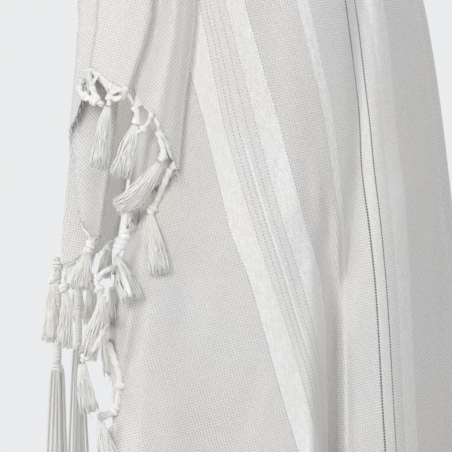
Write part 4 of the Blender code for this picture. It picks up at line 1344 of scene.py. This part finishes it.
def operation(kind: str, turned: bool = False) -> Callable[["Signal", "Signal | float"], "Signal"]:
    """Method that reckons with another signal or a number, which comes first where it is turned.

    Args:
        kind: Kind of sum.
        turned: Whether the other one comes first.

    Returns:
        The method.
    """
    def method(signal: "Signal", other: "Signal | float") -> "Signal":
        """Result of the sum."""
        return signal.sheet.math(kind, *((other, signal) if turned else (signal, other)))
    return method


class Signal:
    """A value, vector or colour in a node tree; values can be reckoned with as numbers are."""

    __add__, __radd__ = operation("ADD"), operation("ADD", turned=True)
    __sub__, __rsub__ = operation("SUBTRACT"), operation("SUBTRACT", turned=True)
    __mul__, __truediv__, __pow__ = operation("MULTIPLY"), operation("DIVIDE"), operation("POWER")

    def __init__(self, sheet: "NodeSheet", socket: bpy.types.NodeSocket) -> None:
        """Wrap an output socket."""
        self.sheet, self.socket = sheet, socket

    def __abs__(self) -> "Signal":
        """The signal without its sign."""
        return self.sheet.math("ABSOLUTE", self)

    def sine(self, rate: float) -> "Signal":
        """Sine of the signal times a rate."""
        return self.sheet.math("SINE", self * rate)

    def ramp(self, low: float, high: float, start: float = 0.0, end: float = 1.0) -> "Signal":
        """Smooth step from start to end while the signal goes from low to high."""
        return self.sheet.take("ShaderNodeMapRange", "Result", {
            "Value": self, "From Min": low, "From Max": high, "To Min": start, "To Max": end,
        }, interpolation_type="SMOOTHSTEP")

    def band(self, low: float, high: float, soft: float) -> "Signal":
        """Mask that is 1 between two values and falls off over a soft margin."""
        return self.ramp(low - soft / 2, low + soft / 2) - self.ramp(high - soft / 2, high + soft / 2)


class NodeSheet:
    """A node tree with short ways to add nodes and join them."""

    def __init__(self, tree: bpy.types.NodeTree) -> None:
        """Take a node tree to work on."""
        self.tree = tree

    def feed(self, node: bpy.types.Node, inputs: dict[int | str, object]) -> bpy.types.Node:
        """Feed inputs of a node, each from a signal or with a value."""
        for name, value in inputs.items():
            if isinstance(value, Signal):
                self.tree.links.new(value.socket, node.inputs[name])
            else:
                node.inputs[name].default_value = value
        return node

    def add(self, kind: str, inputs: dict[int | str, object], **settings: object) -> bpy.types.Node:
        """Add a node of a kind with its settings and inputs."""
        node = self.tree.nodes.new(kind)
        for name, value in settings.items():
            setattr(node, name, value)
        return self.feed(node, inputs)

    def take(self, kind: str, output: int | str, inputs: dict[int | str, object] | None = None,
             **settings: object) -> Signal:
        """Signal from one output of a new node."""
        return Signal(self, self.add(kind, inputs or {}, **settings).outputs[output])

    def math(self, operation: str, *values: object) -> Signal:
        """Result of a sum on numbers or signals."""
        return self.take("ShaderNodeMath", 0, dict(enumerate(values)), operation=operation)

    def split(self, vector: Signal) -> list[Signal]:
        """The three parts of a vector."""
        return [Signal(self, socket) for socket in self.add("ShaderNodeSeparateXYZ", {0: vector}).outputs]

    def blend(self, share: object, a: object, b: object) -> Signal:
        """Mix two colours."""
        return self.take("ShaderNodeMix", 2, {0: share, 6: a, 7: b}, data_type="RGBA")

    def tint(self, a: object, b: object) -> Signal:
        """Multiply two colours."""
        return self.take("ShaderNodeMix", 2, {0: 1.0, 6: a, 7: b}, data_type="RGBA", blend_type="MULTIPLY")

    def between(self, share: object, a: object, b: object) -> Signal:
        """Mix two numbers."""
        return self.take("ShaderNodeMix", 0, {0: share, 2: a, 3: b}, data_type="FLOAT")

    def noise(self, vector: Signal, scale: float, detail: float = 2.0, roughness: float = 0.5) -> Signal:
        """Value of a noise texture."""
        return self.take("ShaderNodeTexNoise", "Fac", {
            "Vector": vector, "Scale": scale, "Detail": detail, "Roughness": roughness})


class MaterialSheet(NodeSheet):
    """The nodes of a new material."""

    def __init__(self, name: str) -> None:
        """Start the material."""
        self.material = bpy.data.materials.new(name)
        self.material.use_nodes = True
        super().__init__(self.material.node_tree)

    def finish(self, looks: dict[str, object], relief: Signal | None = None, strength: float = 0.0,
               depth: float = 0.0) -> bpy.types.Material:
        """Set the shader's inputs and raise the surface.

        Args:
            looks: Inputs of the shader by name.
            relief: Height of the surface at each point.
            strength: Strength of the relief.
            depth: Depth of the relief in metres.

        Returns:
            The finished material.
        """
        if relief is not None:
            bump = {"Strength": strength, "Distance": depth, "Height": relief}
            looks = looks | {"Normal": self.take("ShaderNodeBump", "Normal", bump)}
        self.feed(self.tree.nodes["Principled BSDF"], looks)
        return self.material


class WoolTone:
    """Shared group: uneven cream and white of undyed wool, darkened by the shade that each material feeds in,
    mostly painted shade.
    """

    def __init__(self) -> None:
        """Build the group."""
        self.tree = bpy.data.node_groups.new("Wool Tone", "ShaderNodeTree")
        for name, way, kind in (("Colour", "INPUT", "Color"), ("Shade", "INPUT", "Float"),
                                ("Colour", "OUTPUT", "Color")):
            self.tree.interface.new_socket(name, in_out=way, socket_type=f"NodeSocket{kind}")
        sheet = NodeSheet(self.tree)
        colour, shade = (Signal(sheet, socket) for socket in sheet.add("NodeGroupInput", {}).outputs[:2])
        place = sheet.take("ShaderNodeTexCoord", "Object")
        broad = sheet.noise(place, 14.0, 3.0, 0.55)
        fine = sheet.noise(place, 420.0, 2.0, 0.6)
        warm = sheet.blend(broad.ramp(0.35, 0.7), WHITE, (1.0, 0.985, 0.95, 1.0))
        # Random fine tone, less the painted shade fed in.
        light = fine.ramp(0.2, 0.8, 0.95, 1.03) - shade
        grey = sheet.take("ShaderNodeCombineColor", 0, dict.fromkeys(range(3), light))
        sheet.add("NodeGroupOutput", {"Colour": sheet.tint(sheet.tint(colour, warm), grey)})

    def use(self, sheet: NodeSheet, colour: object, shade: Signal) -> Signal:
        """Place the group in a material.

        Args:
            sheet: The material's nodes.
            colour: Colour of the wool.
            shade: How much darker it is at each point.

        Returns:
            The uneven colour.
        """
        inputs = {"Colour": colour, "Shade": shade}
        return sheet.take("ShaderNodeGroup", "Colour", inputs, node_tree=self.tree)


@dataclass(frozen=True)
class ClothFinish:
    """Open basket weave of fine wool, with satin bands and dark-edged stripes."""

    colour: Colour = (0.86, 0.845, 0.83, 1.0)
    satin_colour: Colour = (0.97, 0.965, 0.95, 1.0)
    # Dark grey painted into the holes of the weave, as the shade seen through them.
    hole_shade_colour: Colour = (0.42, 0.41, 0.41, 1.0)
    line_colour: Colour = (0.30, 0.32, 0.32, 1.0)
    ribbon_colour: Colour = (0.89, 0.89, 0.87, 1.0)
    ribbon_line: Colour = (0.035, 0.05, 0.055, 1.0)
    pitch: tuple[float, float] = (1.97 * MM, 1.81 * MM)
    satin_bands: tuple[tuple[float, float], ...] = ((0.1250, 0.1425), (0.1627, 0.1785), (0.2420, 0.2590))
    narrow_band: tuple[float, float] = (0.2036, 0.2086)
    twill_band: tuple[float, float] = (0.1425, 0.1627)
    fine_lines: tuple[float, ...] = (0.1250, 0.1425, 0.1470, 0.1508, 0.1570, 0.1627, 0.1785)
    # A thin line along the stripe, painted white as a glint over part of its height: a painted highlight.
    glint_line: tuple[float, float] = (0.1523, 0.1532)
    ribbon: tuple[float, float] = (0.2236, 0.2318)
    worn_spot: tuple[float, float] = (0.014, -0.462)
    band_margin: float = 0.8 * MM
    line_margin: float = 0.25 * MM
    line_half: float = 0.22 * MM
    ribbon_line_half: float = 0.45 * MM
    rib_pitch: float = 1.5 * MM
    twill_pitch: float = 1.81 * MM
    dash_pitch: float = 2.5 * MM
    stitch_pitch: float = 2.0 * MM
    drift_scales: tuple[float, float] = (90.0, 117.0)
    grain_scales: tuple[tuple[float, float], ...] = ((700.0, 120.0), (900.0, 900.0))
    line_strength: float = 0.78
    ribbon_line_strength: float = 0.92
    relief: tuple[float, float] = (0.55, 0.42 * MM)

    def basket(self, sheet: NodeSheet, weave: Signal, y: Signal, z: Signal) -> tuple[Signal, Signal]:
        """Threads that go over and under each other, with holes where the weave is open.

        Args:
            sheet: The material's nodes.
            weave: The two thread coordinates.
            y: Distance behind the neck.
            z: Height.

        Returns:
            The height of the threads, and how open the weave is at each point.
        """
        waves = []
        for run, pitch, scale in zip(sheet.split(weave), self.pitch, self.drift_scales):
            drift = (sheet.noise(weave, scale) - 0.5) * 0.9
            waves.append((run / pitch + drift).sine(math.pi))
        first, second = (abs(wave) for wave in waves)
        height = sheet.between((waves[0] * waves[1]).ramp(-0.25, 0.25), second, first)
        loose = sheet.noise(weave, 16.0, 1.0).ramp(0.35, 0.68, 0.7, 1.15) * z.ramp(-0.46, -0.15, 1.2, 0.62)
        aside, above = (y - self.worn_spot[0]) * 1.6, z - self.worn_spot[1]
        worn = sheet.math("SQRT", aside ** 2.0 + above ** 2.0).ramp(0.040, 0.008)
        return height, (first + second).ramp(0.75, 0.18) * (loose + worn)

    def satin(self, sheet: NodeSheet, across: Signal, along: Signal, z: Signal) -> tuple[Signal, Signal]:
        """Satin stripes with ribs and silky grain.

        Args:
            sheet: The material's nodes.
            across: Distance from the fringed side.
            along: Place along the stripes.
            z: Height.

        Returns:
            The stripes as a mask, and the height of their threads.
        """
        stripes = sum(across.band(*band, self.band_margin) for band in self.satin_bands)
        # The narrow band dims to about a third lower down: painted shade where it turns into the fold.
        narrow = across.band(*self.narrow_band, self.band_margin) * z.ramp(-0.37, -0.27, 0.35, 1.0)
        places = (sheet.take("ShaderNodeCombineXYZ", 0, {0: across * a, 1: along * b})
                  for a, b in self.grain_scales)
        grain, speck = (sheet.noise(place, 1.0, detail, 0.7) for place, detail in zip(places, (3.0, 2.0)))
        ribs = abs((along + across * 0.25).sine(math.pi / self.rib_pitch))
        height = ribs * 0.6 + (grain + speck * 0.5).ramp(0.55, 0.95) * 0.4
        return sheet.math("MINIMUM", stripes + narrow, 1.0), height

    def threads(self, across: Signal, along: Signal) -> tuple[Signal, Signal]:
        """Dark single threads beside the stripes, and stitched ones at the ribbon's edges.

        Args:
            across: Distance from the fringed side.
            along: Place along the stripes.

        Returns:
            The two sets of threads as masks.
        """
        def line(place: float, half: float) -> Signal:
            """Mask of one thread."""
            return across.band(place - half, place + half, self.line_margin)

        dash = along.sine(2 * math.pi / self.dash_pitch).ramp(-0.4, 0.3)
        stitch = along.sine(2 * math.pi / self.stitch_pitch).ramp(-0.6, 0.4, 0.3, 1.0)
        lines = sum(line(place, self.line_half) for place in self.fine_lines)
        low, high = (line(place, self.ribbon_line_half) for place in self.ribbon)
        return lines * dash * self.line_strength, (low + high) * stitch * self.ribbon_line_strength

    def material(self, tone: WoolTone) -> bpy.types.Material:
        """Build the material.

        Args:
            tone: The shared group of wool tones.

        Returns:
            The cloth's material.
        """
        sheet = MaterialSheet("Woven wool cloth")
        weave = sheet.take("ShaderNodeUVMap", "UV", uv_map="Weave")
        across, along, _ = sheet.split(sheet.take("ShaderNodeUVMap", "UV", uv_map="Stripe"))
        _, y, z = sheet.split(sheet.take("ShaderNodeTexCoord", "Object"))
        height, hole = self.basket(sheet, weave, y, z)
        satin, satin_height = self.satin(sheet, across, along, z)
        lines, edges = self.threads(across, along)
        twill = across.band(*self.twill_band, self.band_margin)
        twill_height = abs((along + across * 0.14).sine(math.pi / self.twill_pitch))
        # Painted highlight: the glint line is white only between these heights.
        painted_glint = across.band(*self.glint_line, 0.4 * MM) * z.band(-0.40, -0.26, 0.04)
        ribbon = across.band(*self.ribbon, 0.3 * MM)
        silky = sheet.math("MAXIMUM", sheet.math("MAXIMUM", satin, painted_glint), ribbon * 0.4)

        grit = sheet.noise(weave, 1100.0, 2.0, 0.65)
        height = sheet.between(twill, height, twill_height * grit.ramp(0.35, 0.65, 0.4, 1.0))
        height = sheet.between(silky, height, satin_height)
        hole = hole * (1.0 - sheet.math("MAXIMUM", silky, twill)) * ribbon.ramp(0.0, 1.0, 1.0, 0.5)
        # The twill between the bands is woven lighter. Right of the narrow band the cloth is painted half way
        # to the satin colour: a painted light.
        twill_and_painted_light = sheet.math("MAXIMUM", twill * 0.75, across.ramp(0.205, 0.213, 0.0, 0.5))
        # Laid over the base colour: lighter twill and the painted light, satin, the painted glint, the
        # ribbon, holes painted dark as shade, and the dark threads.
        base = self.colour
        for share, colour in ((twill_and_painted_light, self.satin_colour), (silky, self.satin_colour), (painted_glint * 0.8, WHITE),
                              (ribbon * 0.5, self.ribbon_colour), (hole * 0.95, self.hole_shade_colour),
                              (lines, self.line_colour), (edges, self.ribbon_line)):
            base = sheet.blend(share, base, colour)
        # Painted shade: the cloth darkens by this depth where its threads dip between crossings; the grit
        # adds random tone.
        depth = sheet.between(twill, sheet.between(silky, 0.14, 0.21), 0.12)
        shade = height.ramp(0.05, 0.9, 1.0, -0.1) * depth + grit.ramp(0.3, 0.7, 0.08, -0.06)
        # The base colour carries the painted shade. It is a little lighter on satin and lighter still on the
        # painted glint.
        looks = {
            "Base Color": tone.use(sheet, base, shade - silky * 0.035 - painted_glint * 0.06),
            "Roughness": sheet.between(silky, 0.86, 0.55),
            "Sheen Weight": 0.22,
            "Sheen Roughness": 0.45,
            "Specular IOR Level": 0.35,
        }
        return sheet.finish(looks, height + grit * 0.5 - hole * 0.8, *self.relief)


@dataclass(frozen=True)
class YarnFinish:
    """Spun wool thread with its twist."""

    name: str
    colour: Colour
    twist: float
    strength: float

    def material(self, tone: WoolTone) -> bpy.types.Material:
        """Build the material.

        Args:
            tone: The shared group of wool tones.

        Returns:
            The yarn's material.
        """
        sheet = MaterialSheet(self.name)
        around, along, _ = sheet.split(sheet.take("ShaderNodeUVMap", "UV", uv_map="Thread"))
        fibre = sheet.noise(sheet.take("ShaderNodeTexCoord", "Object"), 1500.0, 2.0, 0.6)
        height = abs((around + along / self.twist).sine(2 * math.pi)) + fibre
        # Painted shade: the yarn is darker in the grooves of its twist, and also where the fibre noise is
        # low.
        looks = {
            "Base Color": tone.use(sheet, self.colour, height.ramp(0.3, 1.3, 0.045, 0.0)),
            "Roughness": fibre.ramp(0.3, 0.7, 0.78, 0.92),
            "Sheen Weight": 0.5,
            "Specular IOR Level": 0.3,
        }
        return sheet.finish(looks, height, self.strength, 0.2 * MM)


@dataclass
class Studio:
    """Pale floor, soft light and the camera; each lamp has a name, a place, a size and a power in watts."""

    floor_z: float = -1.45
    floor_size: float = 12.0
    floor_colour: Colour = (0.86, 0.86, 0.86, 1.0)
    lamps: tuple[tuple[str, tuple[float, float, float], float, float], ...] = (
        ("key", (2.3, -1.1, 0.7), 1.0, 19.4),
        ("front", (2.4, 0.8, 0.6), 1.3, 7.5),
        ("top", (1.5, 0.55, 0.85), 0.8, 3.0),
        ("hollow", (0.4, -1.7, -0.5), 1.0, 8.4),
        ("back", (-2.0, 1.2, 0.9), 1.6, 18.0),
    )
    aim: tuple[float, float, float] = (0.15, 0.02, -0.4)
    world_light: tuple[Colour, float] = ((0.96, 0.97, 1.0, 1.0), 0.42)
    world_seen: tuple[Colour, float] = ((0.96, 0.97, 0.98, 1.0), 0.86)
    sensor: float = 36.0
    distance: float = 2.228

    def floor(self) -> None:
        """Lay the pale floor."""
        bpy.ops.object.select_all(action="DESELECT")
        bpy.ops.mesh.primitive_plane_add(size=self.floor_size, location=(0.0, 0.0, self.floor_z))
        floor = bpy.context.active_object
        floor.name = "studio_floor"
        looks = {"Base Color": self.floor_colour, "Roughness": 0.8}
        floor.data.materials.append(MaterialSheet("Pale floor").finish(looks))

    def light(self) -> None:
        """Hang the soft square lamps, which look at the shawl."""
        for name, place, size, power in self.lamps:
            data = bpy.data.lights.new(name, "AREA")
            data.size, data.energy = size, power
            lamp = linked(name, data)
            lamp.location = place
            lamp.rotation_euler = (Vector(self.aim) - Vector(place)).to_track_quat("-Z", "Y").to_euler()

    def world(self) -> None:
        """Give the world its light, and the pale colour that the camera sees."""
        world = bpy.data.worlds.new("Studio")
        world.use_nodes = True
        sheet = NodeSheet(world.node_tree)
        nodes = (world.node_tree.nodes["Background"], sheet.add("ShaderNodeBackground", {}))
        light, seen = (Signal(sheet, sheet.feed(node, {"Color": colour, "Strength": strength}).outputs[0])
                       for node, (colour, strength) in zip(nodes, (self.world_light, self.world_seen)))
        by_camera = sheet.take("ShaderNodeLightPath", "Is Camera Ray")
        mixed = sheet.take("ShaderNodeMixShader", 0, {0: by_camera, 1: light, 2: seen})
        sheet.feed(world.node_tree.nodes["World Output"], {"Surface": mixed})
        bpy.context.scene.world = world
        bpy.context.scene.view_settings.view_transform = "Standard"

    def camera(self) -> None:
        """Place the camera square to the close-up's plane."""
        data = bpy.data.cameras.new("Camera")
        data.sensor_width = self.sensor
        data.lens = self.sensor * self.distance / (CLOSE_UP.square * CLOSE_UP.squares)
        data.clip_start = 0.05
        camera = linked("Camera", data)
        centre_z = float(CLOSE_UP.z(CLOSE_UP.squares / 2))
        camera.location = (CLOSE_UP.plane_x + self.distance, CLOSE_UP.centre_y, centre_z)
        camera.rotation_euler = (math.pi / 2, 0.0, math.pi / 2)
        bpy.context.scene.camera = camera

    def build(self) -> None:
        """Set up floor, light, world and camera."""
        self.floor()
        self.light()
        self.world()
        self.camera()


def report(piece: bpy.types.Object) -> None:
    """Log a piece's size in triangles."""
    count = sum(len(p.vertices) - 2 for p in piece.data.polygons)
    LOG.info("%s: %d triangles", piece.name, count)


def finish_piece(piece: bpy.types.Object, material: bpy.types.Material, slot: Slot, *nodes: str) -> None:
    """Dress a piece, hang it on the body and hide the CAD nodes that it replaces.

    Args:
        piece: The new piece.
        material: Its material.
        slot: Not used.
        *nodes: The CAD nodes that it replaces.
    """
    piece.data.materials.append(material)
    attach(piece, BODY)
    if nodes:
        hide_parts(*nodes)
    report(piece)


def level(vector: np.ndarray) -> np.ndarray:
    """The level part of a direction, at unit length."""
    return unit(vector * (1.0, 1.0, 0.0))


def main() -> None:
    """Build and dress every piece, and set up the studio."""
    tone = WoolTone()
    cloth = ClothFinish().material(tone)
    fringe_yarn = YarnFinish("Loose wool fringe", (0.98, 0.975, 0.955, 1.0), 1.4 * MM, 0.35).material(tone)
    tzitzit_yarn = YarnFinish("Twisted tzitzit wool", (0.96, 0.955, 0.93, 1.0), 1.2 * MM, 0.6).material(tone)
    body = BodyCloth(Stripes())
    grids = body.grids()
    fall_maker = FallCloth(body)
    walls = {}
    for label, grid in grids.items():
        walls[label] = grid.wall(f"shawl_{label}", body.thickness)
        finish_piece(walls[label], cloth, Slot.CLOTH,
                     "cloth_back" if label == "back" else f"cloth_{label}")
    for side in Side:
        fall = fall_maker.grid(side)
        panel = grids[f"side_{side.label}"]
        fringed, inside = (0, body.near_fine) if side is Side.NEAR else (-1, -1 - body.far_fine)
        wall = fall.wall(f"shawl_fall_{side.label}", fall_maker.thickness)
        finish_piece(wall, cloth, Slot.CLOTH, f"cloth_fall_{side.label}")
        open_rows = panel.points[:, fringed, 2] <= fall_maker.tuck_bottom
        side_edge, side_inner = panel.points[open_rows, fringed], panel.points[open_rows, inside]
        rest = SurfaceRest(side, (fall, panel), np.vstack((resampled(fall.points[-1]), resampled(side_edge))))
        fringe = Fringe(side, rest, fall.points[-1], side_edge).build(fall.points[-3], side_inner)
        finish_piece(fringe, fringe_yarn, Slot.FRINGE, f"fringe_fall_{side.label}",
                     f"fringe_side_{side.label}")
        corner = fall.points[-1, 0]
        away = unit(corner - fall.points[-1, fall_maker.fine])
        inward = unit(side_inner[-1] - side_edge[-1])
        tops = [(label, start + way * place[0] + UP * place[1], level(way)) for label, start, way, place in (
            ("top", corner, away, TOP_TZITZIT_PLACE), ("hem", side_edge[-1], inward, HEM_TZITZIT_PLACE))]
        for label, top, across in tops:
            name = f"{side.label}_{label}"
            piece = Tzitzit(f"tzitzit_cords_{name}", top, across).build()
            finish_piece(piece, tzitzit_yarn, Slot.TZITZIT, f"tzitzit_{name}")
    Studio().build()


if __name__ == "__main__":
    main()
